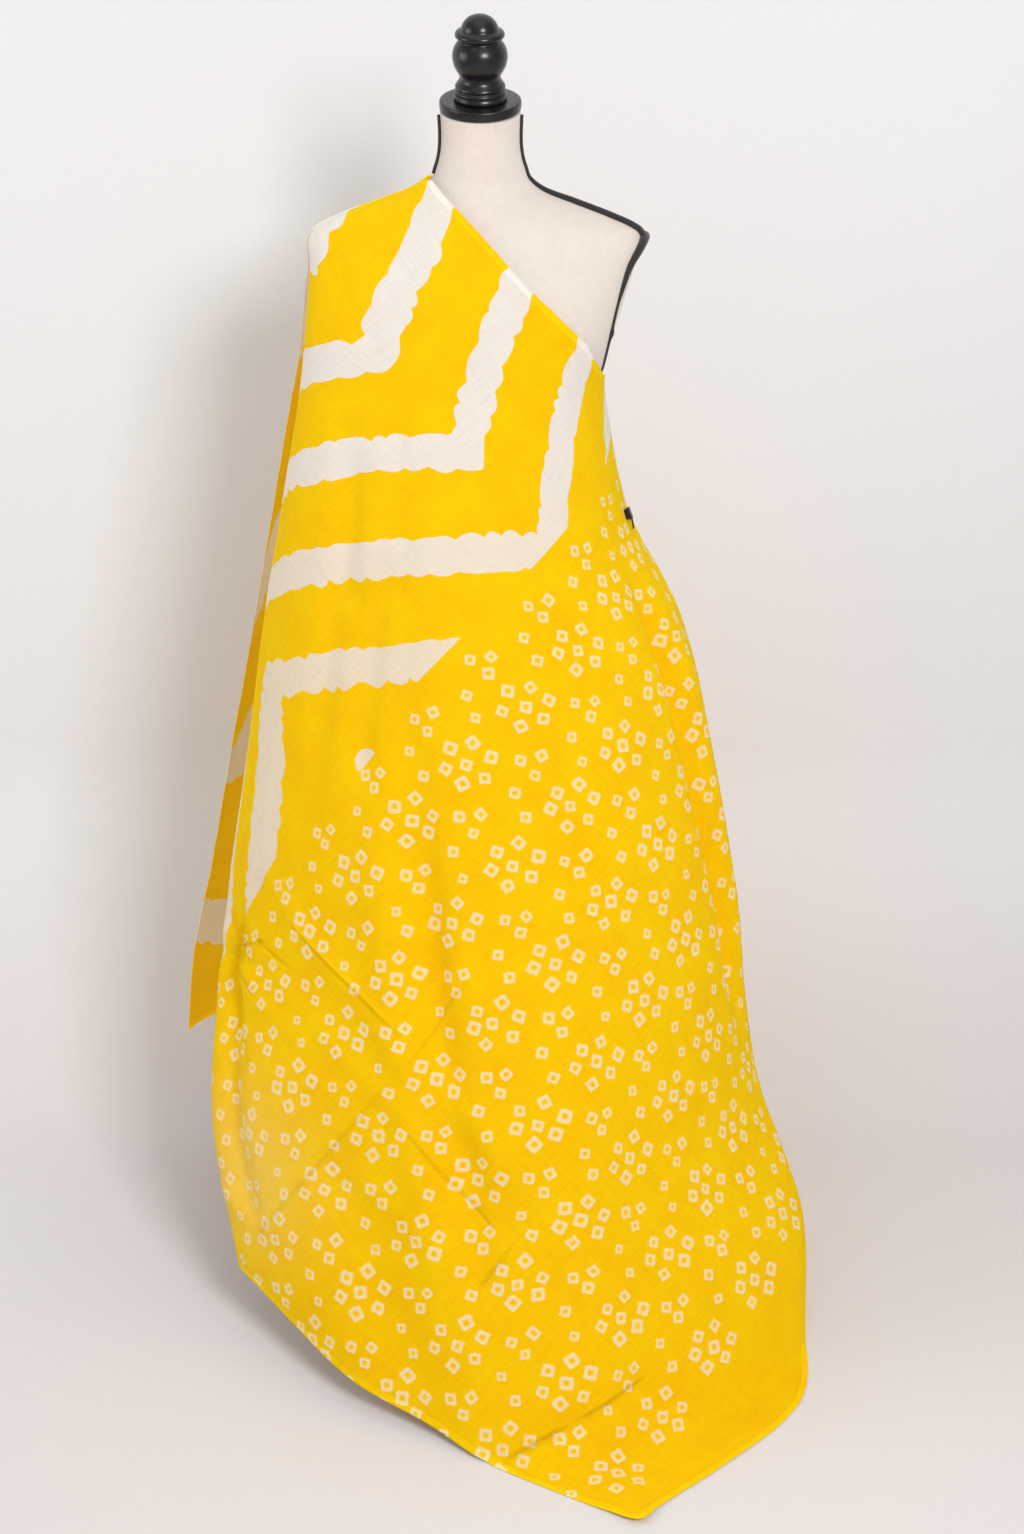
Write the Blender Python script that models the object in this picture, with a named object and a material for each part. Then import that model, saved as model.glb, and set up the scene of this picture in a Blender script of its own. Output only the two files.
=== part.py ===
"""Mulmul sari draped on a dress form, in metres, +Z up, with the front towards -Y.

The sari is one sheet. Its short back layer hangs behind the shoulder at -X, it lies over that
shoulder, fans out over the front down to the floor, passes round the side at +X and ends behind
the form. The form is a linen torso with piping, a neck plate and a turned finial, on a plain stand.
The origin is on the surface that the part stands on, at the middle of the stand's base.
"""

import math

import bmesh
import bpy
import numpy as np
from mathutils import Matrix, Vector

# Thickness and spacing
SHEET = 0.002            # thickness of the cloth solid
CLOTH_CLEARANCE = 0.0045  # from the torso to the inner face of the cloth
GAP = 0.0003             # between pieces that touch
FLOOR = 0.0004           # height of the cloth's underside where it lies on the floor

# Bearings count quarters of the way round: 0 left, 1 front, 2 right, 3 back, 4 left again
LEFT, RIGHT, LEFT_AGAIN = 0.0, 2.0, 4.0
QUARTER_SAMPLES = 40

# Sections of the torso, from the hips to the neck
# height, half width, front depth, back depth
TORSO = (
    (0.750, 0.148, 0.094, 0.104),
    (0.768, 0.165, 0.106, 0.117),
    (0.860, 0.172, 0.112, 0.124),
    (0.950, 0.150, 0.102, 0.106),
    (1.020, 0.126, 0.096, 0.088),
    (1.080, 0.131, 0.112, 0.088),
    (1.130, 0.144, 0.128, 0.092),
    (1.200, 0.166, 0.122, 0.094),
    (1.260, 0.184, 0.092, 0.086),
    (1.292, 0.192, 0.070, 0.072),
    (1.304, 0.188, 0.060, 0.064),
    (1.318, 0.156, 0.053, 0.058),
    (1.332, 0.116, 0.048, 0.053),
    (1.346, 0.077, 0.044, 0.050),
    (1.358, 0.060, 0.042, 0.048),
    (1.375, 0.052, 0.042, 0.047),
    (1.4505, 0.047, 0.044, 0.046),
)
TORSO_ROUNDNESS = 2.2
TORSO_COLUMNS = 40
NECK_TOP = 1.4505
NECK_LEAN = math.radians(15)

# Sections of the drape below the shoulder: where it reaches furthest left, front, right and back,
# and the edge of the back layer, which shows beyond the front layer's left edge
# height, left x, left y, front x, front y, right x, right y, back y, layer x, layer y, roundness
DRAPE = (
    (0.000, -0.285, -0.400, 0.050, -0.609, 0.400, -0.360, 0.265, -0.430, 0.030, 1.45),
    (0.100, -0.303, -0.375, 0.045, -0.569, 0.408, -0.290, 0.245, -0.425, 0.030, 1.50),
    (0.250, -0.338, -0.280, 0.040, -0.508, 0.356, -0.180, 0.220, -0.409, 0.030, 1.55),
    (0.345, -0.338, -0.222, 0.035, -0.470, 0.340, -0.145, 0.205, -0.396, 0.030, 1.60),
    (0.450, -0.331, -0.145, 0.030, -0.427, 0.328, -0.110, 0.190, -0.371, 0.030, 1.65),
    (0.650, -0.300, -0.085, 0.020, -0.347, 0.294, -0.065, 0.166, -0.328, 0.030, 1.75),
    (0.850, -0.270, -0.055, 0.010, -0.266, 0.241, -0.030, 0.145, -0.286, 0.020, 1.85),
    (0.960, -0.248, -0.048, 0.000, -0.222, 0.182, -0.010, 0.118, -0.264, 0.020, 1.95),
    (1.060, -0.229, -0.040, 0.000, -0.181, 0.158, 0.000, 0.104, -0.243, 0.020, 2.05),
    (1.130, -0.217, -0.035, 0.000, -0.150, 0.150, 0.000, 0.098, -0.228, 0.015, 2.15),
    (1.200, -0.208, -0.026, 0.000, -0.129, 0.171, 0.000, 0.099, -0.217, 0.010, 2.20),
    (1.262, -0.202, -0.012, 0.000, -0.098, 0.189, 0.000, 0.092, -0.207, 0.006, 2.20),
)
SHOULDER = 1.300         # from here up the cloth lies on the torso's own sections
SHOULDER_LIFT = 0.0045   # the cloth's height above the shoulder's slope
CLOTH_TOP = 1.361        # beside the neck

# Upper selvedge across the chest: how far right, and how high
SELVEDGE = (
    (-0.056, 1.361),
    (-0.042, 1.346),
    (0.028, 1.276),
    (0.056, 1.248),
    (0.081, 1.226),
    (0.126, 1.181),
    (0.150, 1.127),
)
# Upper selvedge round the side and the back: bearing, height
BACK_SELVEDGE = (
    (2.00, 1.127),
    (2.30, 1.055),
    (2.70, 1.005),
    (3.50, 0.985),
)

# Lower edge of the front layer, from its left corner: bearing, x, y, height
HEM = (
    (0.00, -0.300, -0.380, 0.0950),
    (0.20, -0.236, -0.446, 0.0700),
    (0.45, -0.150, -0.531, 0.0400),
    (0.70, -0.054, -0.586, 0.0180),
    (0.90, 0.024, -0.638, FLOOR),
    (1.09, 0.140, -0.706, 0.0030),
    (1.15, 0.177, -0.727, 0.0080),
    (1.21, 0.200, -0.702, 0.0035),
    (1.40, 0.270, -0.640, FLOOR),
    (1.62, 0.358, -0.553, FLOOR),
    (1.80, 0.392, -0.490, FLOOR),
    (2.00, 0.403, -0.375, FLOOR),
    (2.30, 0.385, -0.120, FLOOR),
    (2.65, 0.270, 0.135, FLOOR),
    (3.00, 0.040, 0.262, FLOOR),
    (3.42, -0.200, 0.170, FLOOR),
)
HEM_REACH = 0.22         # the lower edge bends the drape up to this height above it
HEM_BEND = 0.03          # a hem further out than this lies on the floor as a flap
BREAK_SOFTNESS = 0.03    # length over which the cloth turns onto the floor

# Soft folds that hang in the cloth. A negative depth is a groove
# name, bearing above, bearing below, top, bottom, depth, half width
FOLDS = (
    ("side groove", 1.66, 1.90, 0.950, 0.300, -0.030, 0.048),
    ("side band", 1.80, 1.96, 0.930, 0.360, 0.006, 0.050),
    ("left flute", 0.50, 0.44, 1.080, 0.620, -0.009, 0.050),
    ("second flute", 0.66, 0.60, 1.060, 0.600, -0.008, 0.045),
    ("front fold", 0.76, 0.93, 0.720, 0.080, -0.013, 0.050),
    ("front fold's crown", 0.66, 0.80, 0.720, 0.080, 0.008, 0.060),
    ("left hollow", 0.10, 0.16, 0.560, 0.100, -0.016, 0.060),
    ("corner ridge", 1.20, 1.18, 0.500, 0.000, 0.012, 0.100),
    ("right fold", 2.22, 2.16, 0.950, 0.000, -0.026, 0.060),
    ("back fold one", 2.50, 2.46, 0.930, 0.000, -0.028, 0.060),
    ("back fold two", 2.78, 2.76, 0.930, 0.000, -0.024, 0.060),
    ("back fold three", 3.06, 3.04, 0.930, 0.000, -0.022, 0.055),
)
# The same in the back layer
LAYER_FOLDS = (
    ("outer flute", 3.74, 3.78, 1.150, 0.200, 0.014, 0.055),
    ("middle flute", 3.52, 3.52, 1.150, 0.200, 0.016, 0.055),
    ("inner flute", 3.30, 3.28, 1.150, 0.200, 0.014, 0.050),
)
PINCH_HEIGHT = 0.430     # a small gather in the front layer's left edge
PINCH_HALF_HEIGHT = 0.030
PINCH_HALF_WIDTH = 0.08
PINCH_DEPTH = 0.010

LAYER_INNER_EDGE = 3.12  # bearing of the back layer's inner edge
LAYER_HEM = 0.200
LAYER_OFFSET = 0.013     # the back layer hangs this far outside the cloth under it
SHEET_END = 3.42         # bearing where the sheet ends, under the back layer

# Mesh of the cloth
SHOULDER_ROWS = 4        # shared by both layers, from the neck to the tip of the shoulder
SHOULDER_LENGTH = 0.142
HANGING_ROWS = 22
END_ROWS = 4             # down a flap on the floor, or down the last of the hanging cloth
SHORTEST_END = 0.06
# bearing, columns up to it
COLUMN_RUNS = ((0.90, 12), (1.15, 4), (1.55, 6), (1.98, 13), (SHEET_END, 15))
LAYER_COLUMNS = 10

# Piping and small parts
PIPING_RADIUS = 0.0026
PIPING_LIFT = 0.0016     # clear of the torso's facets
CLIP_SIZE = (0.011, 0.003, 0.015)
CLIP_LIFT = 0.0026       # clear of the cloth's facets
CLIP_BEARING = 1.86
CLIP_HEIGHT = 0.965
PRONG_SIZE = (0.0015, 0.0015, 0.012)
PRONG_COUNT = 3
PRONG_PITCH = 0.0035

# Finial, from its seat to its tip: radius, height
FINIAL = (
    (0.0000, 0.000), (0.0314, 0.000), (0.0314, 0.005), (0.0290, 0.008), (0.0290, 0.011),
    (0.0250, 0.013), (0.0287, 0.016), (0.0287, 0.019), (0.0235, 0.023), (0.0240, 0.028),
    (0.0290, 0.036), (0.0318, 0.044), (0.0323, 0.051), (0.0310, 0.058), (0.0265, 0.066),
    (0.0225, 0.070), (0.0285, 0.073), (0.0288, 0.077), (0.0225, 0.080), (0.0208, 0.084),
    (0.0180, 0.090), (0.0115, 0.095), (0.0000, 0.097),
)
PLATE_RADIUS = 0.0485
PLATE_THICKNESS = 0.012
PLATE_EDGE = 0.002
POLE_RADIUS = 0.016
BASE_RADIUS = 0.170
BASE_THICKNESS = 0.026
ROUND_STEPS = 32


def clear_scene():
    for old in list(bpy.data.objects):
        bpy.data.objects.remove(old, do_unlink=True)


def material(name, colour, roughness, metallic=0.0):
    made = bpy.data.materials.new(name)
    made.use_nodes = True
    shader = made.node_tree.nodes["Principled BSDF"]
    shader.inputs["Base Color"].default_value = (*colour, 1.0)
    shader.inputs["Roughness"].default_value = roughness
    shader.inputs["Metallic"].default_value = metallic
    return made


def add_object(name, mesh_builder, finish):
    mesh = bpy.data.meshes.new(name)
    mesh_builder.to_mesh(mesh)
    mesh_builder.free()
    mesh.shade_smooth()
    mesh.set_sharp_from_angle(angle=math.radians(40))
    made = bpy.data.objects.new(name, mesh)
    made.data.materials.append(finish)
    bpy.context.scene.collection.objects.link(made)
    return made


def smooth_through(stations, values, at):
    """Values of a smooth curve through the stations of a table, at one or more places."""
    stations = np.asarray(stations, float)
    values = np.asarray(values, float)
    at = np.clip(np.atleast_1d(at), stations[0], stations[-1])
    slopes = np.gradient(values, stations, axis=0)
    before = np.clip(np.searchsorted(stations, at, side="right") - 1, 0, len(stations) - 2)
    span = stations[before + 1] - stations[before]
    share = ((at - stations[before]) / span)[:, None]
    span = span[:, None]
    start, end = values[before], values[before + 1]
    return (
        (2 * share**3 - 3 * share**2 + 1) * start
        + (share**3 - 2 * share**2 + share) * span * slopes[before]
        + (3 * share**2 - 2 * share**3) * end
        + (share**3 - share**2) * span * slopes[before + 1]
    )


def quarter_points(start, end, roundness, share, along_x_first):
    """Points a share of the way along quarter curves of a section, one for each height."""
    turn = np.linspace(0.0, math.pi / 2, QUARTER_SAMPLES)
    power = (2.0 / roundness)[:, None]
    rising = np.sin(turn)[None, :] ** power
    falling = np.cos(turn)[None, :] ** power
    first, second = (rising, 1 - falling) if along_x_first else (1 - falling, rising)
    x = start[:, :1] + (end[:, :1] - start[:, :1]) * first
    y = start[:, 1:] + (end[:, 1:] - start[:, 1:]) * second
    steps = np.hypot(np.diff(x, axis=1), np.diff(y, axis=1))
    length = np.concatenate([np.zeros((len(x), 1)), np.cumsum(steps, axis=1)], axis=1)
    picked = np.empty((len(x), 2))
    for row in range(len(x)):
        at = share * length[row, -1]
        picked[row] = np.interp(at, length[row], x[row]), np.interp(at, length[row], y[row])
    return picked


def section_point(corners, roundness, bearing):
    """Points at one bearing on closed sections whose four outermost points are given."""
    quarter = min(int(bearing), 3)
    return quarter_points(
        corners[quarter], corners[(quarter + 1) % 4], roundness, bearing - quarter, quarter % 2 == 1
    )


def torso_corners(heights, clearance=0.0):
    rows = np.array(TORSO)
    size = smooth_through(rows[:, 0], rows[:, 1:], heights) + clearance
    nothing = np.zeros(len(size))
    return [
        np.column_stack([-size[:, 0], nothing]),
        np.column_stack([nothing, -size[:, 1]]),
        np.column_stack([size[:, 0], nothing]),
        np.column_stack([nothing, size[:, 2]]),
    ]


def torso_point(heights, bearing, clearance=0.0):
    heights = np.atleast_1d(heights)
    roundness = np.full(len(heights), TORSO_ROUNDNESS)
    flat = section_point(torso_corners(heights, clearance), roundness, bearing)
    return np.column_stack([flat, heights])


def drape_table():
    """The drape's own sections, with those of the torso above the shoulder."""
    rows = [list(row) for row in DRAPE]
    for height, half_width, front, back in TORSO:
        if height < SHOULDER:
            continue
        side = half_width + CLOTH_CLEARANCE
        rows.append([
            height + SHOULDER_LIFT, -side, 0.0, 0.0, -front - CLOTH_CLEARANCE, side, 0.0,
            back + CLOTH_CLEARANCE, -side, 0.0, TORSO_ROUNDNESS,
        ])
    return np.array(rows)


def drape_point(heights, bearing, back_layer):
    """Points on the drape at one bearing, before its folds."""
    table = drape_table()
    row = smooth_through(table[:, 0], table[:, 1:], heights)
    left, front, right = row[:, 0:2], row[:, 2:4], row[:, 4:6]
    back = np.column_stack([np.zeros(len(row)), row[:, 6]])
    if back_layer:
        left = row[:, 7:9]
        back[:, 1] += LAYER_OFFSET * np.clip((1.15 - heights) / 0.15, 0.0, 1.0)
    return section_point([left, front, right, back], row[:, 9], bearing)


def fade(heights, top, bottom, softness=0.16):
    """1 between two heights, running out softly past the top and, above the floor, the bottom."""
    rise = np.clip((top - heights) / softness, 0.0, 1.0)
    fall = np.clip((heights - bottom) / softness, 0.0, 1.0) if bottom > 0.0 else 1.0
    return np.sin(rise * math.pi / 2) ** 2 * np.sin(fall * math.pi / 2) ** 2


def fold_depth(heights, bearing, folds):
    depth = np.zeros(len(heights))
    for _, bearing_above, bearing_below, top, bottom, deep, half_width in folds:
        share = np.clip((top - heights) / (top - bottom), 0.0, 1.0)
        middle = bearing_above + (bearing_below - bearing_above) * share
        reach = np.exp(-(((bearing - middle) / half_width) ** 2))
        depth += deep * reach * fade(heights, top, bottom)
    return depth


def folded_points(heights, bearing, back_layer):
    """Points on the drape at one bearing, with its folds."""
    step = 0.02
    low = LAYER_INNER_EDGE if back_layer else LEFT
    before = drape_point(heights, max(bearing - step, low), back_layer)
    after = drape_point(heights, min(bearing + step, LEFT_AGAIN), back_layer)
    along = after - before
    along /= np.linalg.norm(along, axis=1)[:, None]
    outward = np.column_stack([along[:, 1], -along[:, 0]])
    depth = fold_depth(heights, bearing, LAYER_FOLDS if back_layer else FOLDS)
    flat = drape_point(heights, bearing, back_layer) + outward * depth[:, None]
    if not back_layer:
        near = np.exp(-(((heights - PINCH_HEIGHT) / PINCH_HALF_HEIGHT) ** 2))
        flat += along * (PINCH_DEPTH * near * math.exp(-((bearing / PINCH_HALF_WIDTH) ** 2)))[:, None]
    return np.column_stack([flat, heights])


def top_trimmed(path, bearing):
    """The path from the upper selvedge down."""
    if bearing <= RIGHT:
        edge_x, edge_height = np.array(SELVEDGE).T
        above = path[:, 2] - np.interp(path[:, 0], edge_x, edge_height)
    else:
        edge_bearing, edge_height = np.array(BACK_SELVEDGE).T
        above = path[:, 2] - np.interp(bearing, edge_bearing, edge_height)
    first = int(np.argmax(above <= 1e-9))
    if first == 0:
        return path
    share = above[first - 1] / (above[first - 1] - above[first])
    start = path[first - 1] + (path[first] - path[first - 1]) * share
    return np.vstack([start, path[first:]])


def softened(path, length):
    """The path with its corners rounded over a length, its ends kept."""
    steps = np.linalg.norm(np.diff(path, axis=0), axis=1)
    along = np.concatenate([[0.0], np.cumsum(steps)])
    even = np.linspace(0.0, along[-1], 400)
    points = np.column_stack([np.interp(even, along, path[:, axis]) for axis in range(3)])
    half = max(1, int(length / (even[1] - even[0]) / 2))
    smooth = points.copy()
    for index in range(1, len(points) - 1):
        reach = min(half, index, len(points) - 1 - index)
        smooth[index] = points[index - reach:index + reach + 1].mean(axis=0)
    return smooth


def sampled(path, flap):
    """Rows of points down a path: the shoulder's, those down the drape, and those of its end."""
    steps = np.linalg.norm(np.diff(path, axis=0), axis=1)
    along = np.concatenate([[0.0], np.cumsum(steps)])
    shoulder = np.linspace(0.0, SHOULDER_LENGTH, SHOULDER_ROWS + 1)
    end = along[-1] - max(flap, SHORTEST_END)
    hanging = np.linspace(SHOULDER_LENGTH, end, HANGING_ROWS + 1)[1:]
    lying = np.linspace(end, along[-1], END_ROWS + 1)[1:]
    at = np.concatenate([shoulder, hanging, lying])
    return np.column_stack([np.interp(at, along, path[:, axis]) for axis in range(3)])


def path_heights(lowest):
    shoulder = np.linspace(CLOTH_TOP, SHOULDER, 40)
    below = np.linspace(SHOULDER, lowest, 140)
    return np.concatenate([shoulder, below[1:]])


def front_column(bearing):
    """One column of the front layer, from its upper selvedge to its lower edge."""
    hem = np.array(HEM)
    hem_point = np.array([np.interp(bearing, hem[:, 0], hem[:, axis]) for axis in (1, 2, 3)])
    path = folded_points(path_heights(hem_point[2]), bearing, back_layer=False)
    to_hem = hem_point - path[-1]
    distance = np.linalg.norm(to_hem)
    bend = min(1.0, HEM_BEND / max(distance, 1e-6))
    nearness = np.clip(1 - (path[:, 2] - hem_point[2]) / HEM_REACH, 0.0, 1.0) ** 2
    path += (bend * nearness)[:, None] * to_hem
    flap = distance * (1.0 - bend)
    if flap > 0.0:
        path = np.vstack([path, hem_point])
    return sampled(softened(top_trimmed(path, bearing), BREAK_SOFTNESS), flap)


def layer_column(bearing):
    """One column of the back layer, from the neck and the shoulder down to its hem."""
    path = folded_points(path_heights(LAYER_HEM), bearing, back_layer=True)
    return sampled(softened(path, BREAK_SOFTNESS), 0.0)


def spread_bearings():
    bearings = [LEFT]
    for end, count in COLUMN_RUNS:
        bearings += list(np.linspace(bearings[-1], end, count + 1)[1:])
    return bearings


def add_grid(builder, columns):
    """Faces between neighbouring columns, facing outwards."""
    verts = [[builder.verts.new(point) for point in column] for column in columns]
    for left, right in zip(verts, verts[1:]):
        for row in range(len(left) - 1):
            builder.faces.new((left[row], left[row + 1], right[row + 1], right[row]))
    return verts


def build_sari(finish):
    builder = bmesh.new()
    front = add_grid(builder, [front_column(bearing) for bearing in spread_bearings()])
    layer_bearings = np.linspace(LAYER_INNER_EDGE, LEFT_AGAIN, LAYER_COLUMNS + 1)
    layer = add_grid(builder, [layer_column(bearing) for bearing in layer_bearings])
    joined = {layer[-1][row]: front[0][row] for row in range(SHOULDER_ROWS + 1)}
    bmesh.ops.weld_verts(builder, targetmap=joined)
    sari = add_object("sari", builder, finish)
    wall = sari.modifiers.new("wall", "SOLIDIFY")
    wall.thickness = SHEET
    wall.offset = 1.0
    wall.use_quality_normals = True
    return sari


def neck_height(point):
    """Height of the slanting cut across the neck."""
    return NECK_TOP - PLATE_THICKNESS / math.cos(NECK_LEAN) - GAP + point[1] * math.tan(NECK_LEAN)


def build_torso(finish):
    builder = bmesh.new()
    levels = np.array(TORSO)[:, 0]
    heights = np.sort(np.concatenate([levels, (levels[1:] + levels[:-1]) / 2]))
    bearings = np.arange(TORSO_COLUMNS) * 4.0 / TORSO_COLUMNS
    columns = [torso_point(heights, bearing) for bearing in bearings]
    for column in columns:
        top = neck_height(column[-1])
        over = column[:, 2] > top - 0.004
        column[over, 2] = np.linspace(top - 0.004 * over.sum(), top, over.sum())
    columns.append(columns[0])
    verts = add_grid(builder, columns)
    bmesh.ops.remove_doubles(builder, verts=list(builder.verts), dist=1e-6)
    bmesh.ops.holes_fill(builder, edges=[edge for edge in builder.edges if edge.is_boundary])
    bmesh.ops.recalc_face_normals(builder, faces=list(builder.faces))
    return add_object("torso", builder, finish)


def turned(name, profile, finish, place=None):
    """A closed solid of revolution from its profile, whose ends lie on the axis."""
    builder = bmesh.new()
    rim = [builder.verts.new((radius, 0.0, height)) for radius, height in profile]
    edges = [builder.edges.new(pair) for pair in zip(rim, rim[1:])]
    bmesh.ops.spin(
        builder, geom=rim + edges, axis=(0, 0, 1), cent=(0, 0, 0),
        angle=math.tau, steps=ROUND_STEPS, use_merge=True,
    )
    bmesh.ops.remove_doubles(builder, verts=list(builder.verts), dist=1e-6)
    bmesh.ops.recalc_face_normals(builder, faces=list(builder.faces))
    made = add_object(name, builder, finish)
    if place is not None:
        made.matrix_world = place
    return made


def tube(name, points, finish, closed=False):
    curve = bpy.data.curves.new(name, "CURVE")
    curve.dimensions = "3D"
    curve.bevel_depth = PIPING_RADIUS
    curve.bevel_resolution = 1
    curve.use_fill_caps = not closed
    spline = curve.splines.new("POLY")
    spline.points.add(len(points) - 1)
    for place, point in zip(spline.points, points):
        place.co = (*point, 1.0)
    spline.use_cyclic_u = closed
    made = bpy.data.objects.new(name, curve)
    made.data.materials.append(finish)
    bpy.context.scene.collection.objects.link(made)
    return made


def piping_points(stations):
    """Places for piping that lies on the torso: height and bearing of each."""
    lift = PIPING_RADIUS + PIPING_LIFT
    points = []
    for height, bearing in stations:
        low, here, high = torso_point(np.array([height - 0.004, height, height + 0.004]), bearing)
        before, after = (torso_point(height, bearing + step)[0] for step in (-0.04, 0.04))
        outward = np.cross(after - before, high - low)
        points.append(here + outward / np.linalg.norm(outward) * lift)
    return points


def build_piping(finish):
    ridge = [(height, RIGHT - 0.08) for height in np.linspace(1.415, 1.307, 18)]
    tube("piping_right", piping_points(ridge), finish)
    neck_side = [(height, LEFT + 0.08) for height in np.linspace(1.415, 1.376, 7)]
    tube("piping_left", piping_points(neck_side), finish)
    armhole = []
    for turn in np.linspace(0.0, math.tau, 28, endpoint=False):
        armhole.append((1.213 + 0.080 * math.cos(turn), RIGHT - 0.20 * math.sin(turn)))
    tube("piping_armhole", piping_points(armhole), finish, closed=True)


def build_clip(finish):
    """A small plate on the cloth with a few prongs below it."""
    heights = np.array([CLIP_HEIGHT, CLIP_HEIGHT - 0.01])
    here = folded_points(heights, CLIP_BEARING, back_layer=False)
    beside = folded_points(heights, CLIP_BEARING + 0.02, back_layer=False)
    across = Vector(beside[0] - here[0]).normalized()
    down = Vector(here[1] - here[0]).normalized()
    outward = down.cross(across).normalized()
    across = outward.cross(down).normalized()
    axes = Matrix((across, outward, -down)).transposed().to_4x4()
    lift = SHEET + CLIP_SIZE[1] / 2 + CLIP_LIFT
    place = Matrix.Translation(Vector(here[0]) + outward * lift) @ axes
    builder = bmesh.new()
    bmesh.ops.create_cube(builder, size=1.0, matrix=Matrix.Diagonal((*CLIP_SIZE, 1.0)))
    bmesh.ops.bevel(
        builder, geom=list(builder.edges), offset=0.0008, segments=2, profile=0.5, affect="EDGES"
    )
    add_object("clip", builder, finish).matrix_world = place
    for number in range(PRONG_COUNT):
        prong = bmesh.new()
        bmesh.ops.create_cube(prong, size=1.0, matrix=Matrix.Diagonal((*PRONG_SIZE, 1.0)))
        sideways = (number - (PRONG_COUNT - 1) / 2) * PRONG_PITCH
        below = -(CLIP_SIZE[2] + PRONG_SIZE[2]) / 2 - GAP
        shift = Matrix.Translation((sideways, 0.0, below))
        add_object(f"clip_prong_{number + 1}", prong, finish).matrix_world = place @ shift


def build_stand(wood):
    edge = 0.003
    turned("base", (
        (0.0, 0.0), (BASE_RADIUS - edge, 0.0), (BASE_RADIUS, edge),
        (BASE_RADIUS, BASE_THICKNESS - 2 * edge), (BASE_RADIUS - 2 * edge, BASE_THICKNESS),
        (0.0, BASE_THICKNESS),
    ), wood)
    low, high = BASE_THICKNESS + GAP, TORSO[0][0] - GAP
    turned("pole", ((0.0, low), (POLE_RADIUS, low), (POLE_RADIUS, high), (0.0, high)), wood)


def build_neck(lacquer):
    tilt = Matrix.Rotation(NECK_LEAN, 4, "X")
    seat = Matrix.Translation((0.0, 0.0, NECK_TOP)) @ tilt
    low, edge = -PLATE_THICKNESS + GAP, PLATE_EDGE
    turned("neck_plate", (
        (0.0, low), (PLATE_RADIUS - edge, low), (PLATE_RADIUS, low + edge),
        (PLATE_RADIUS, -edge), (PLATE_RADIUS - edge, 0.0), (0.0, 0.0),
    ), lacquer, seat)
    turned("finial", FINIAL, lacquer, seat @ Matrix.Translation((0.0, 0.0, GAP)))


clear_scene()
muslin = material("yellow muslin", (1.0, 0.62, 0.0), 0.85)
linen = material("cream linen", (0.84, 0.76, 0.66), 0.9)
piping_cord = material("black piping", (0.02, 0.02, 0.02), 0.6)
lacquer = material("black lacquer", (0.015, 0.014, 0.013), 0.3)
black_metal = material("black metal", (0.02, 0.02, 0.02), 0.4, 0.6)
build_torso(linen)
build_neck(lacquer)
build_piping(piping_cord)
build_stand(lacquer)
build_sari(muslin)
build_clip(black_metal)
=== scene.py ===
import math

import bmesh
import bpy
import numpy as np
from mathutils import Matrix, Vector, noise


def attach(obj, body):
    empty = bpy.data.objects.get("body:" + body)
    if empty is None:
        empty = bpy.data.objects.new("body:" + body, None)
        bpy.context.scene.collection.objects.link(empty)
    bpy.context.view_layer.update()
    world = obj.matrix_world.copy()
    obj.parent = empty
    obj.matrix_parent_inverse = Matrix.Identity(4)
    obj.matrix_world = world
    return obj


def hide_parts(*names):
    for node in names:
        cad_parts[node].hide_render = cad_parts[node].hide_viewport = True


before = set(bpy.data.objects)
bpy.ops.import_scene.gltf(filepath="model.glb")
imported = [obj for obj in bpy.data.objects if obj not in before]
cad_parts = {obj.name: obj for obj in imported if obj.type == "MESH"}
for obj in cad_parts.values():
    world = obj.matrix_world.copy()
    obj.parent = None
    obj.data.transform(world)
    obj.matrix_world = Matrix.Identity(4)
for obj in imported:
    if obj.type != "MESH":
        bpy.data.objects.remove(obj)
bpy.ops.object.select_all(action="DESELECT")
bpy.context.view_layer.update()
bpy.context.scene.view_settings.view_transform = "Standard"

# Camera: a little above the finial and tilted down, at the distance that gives the sari's
# outline its perspective.
CAMERA_PLACE = (0.037, -2.600, 1.650)
CAMERA_TILT = math.radians(68.2)
CAMERA_LENS = 50.0
bpy.ops.object.camera_add(location=CAMERA_PLACE, rotation=(CAMERA_TILT, 0.0, 0.0))
camera = bpy.context.object
camera.name = "camera"
camera.data.lens = CAMERA_LENS
camera.data.sensor_width = 36.0
camera.data.clip_start = 0.05
bpy.context.scene.camera = camera

# Light: a soft key from just right of the camera, a weaker one from the left, even light from
# above and a pale room all round.
LIGHTS = (
    # name, place, aimed at, size, power, colour
    ("key", (0.95, -2.6, 2.25), (0.0, -0.1, 0.8), 0.8, 60.0, (0.99, 0.99, 1.0)),
    ("side", (-2.5, -0.7, 1.7), (0.0, 0.0, 0.8), 1.4, 22.0, (0.98, 0.99, 1.0)),
    ("top", (0.0, -0.8, 3.4), (0.0, -0.1, 0.6), 2.4, 13.0, (1.0, 1.0, 1.0)),
)
ROOM_STRENGTH = 0.38


def new_object(name, data):
    """An object in the scene, made from its data."""
    made = bpy.data.objects.new(name, data)
    bpy.context.scene.collection.objects.link(made)
    return made


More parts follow.
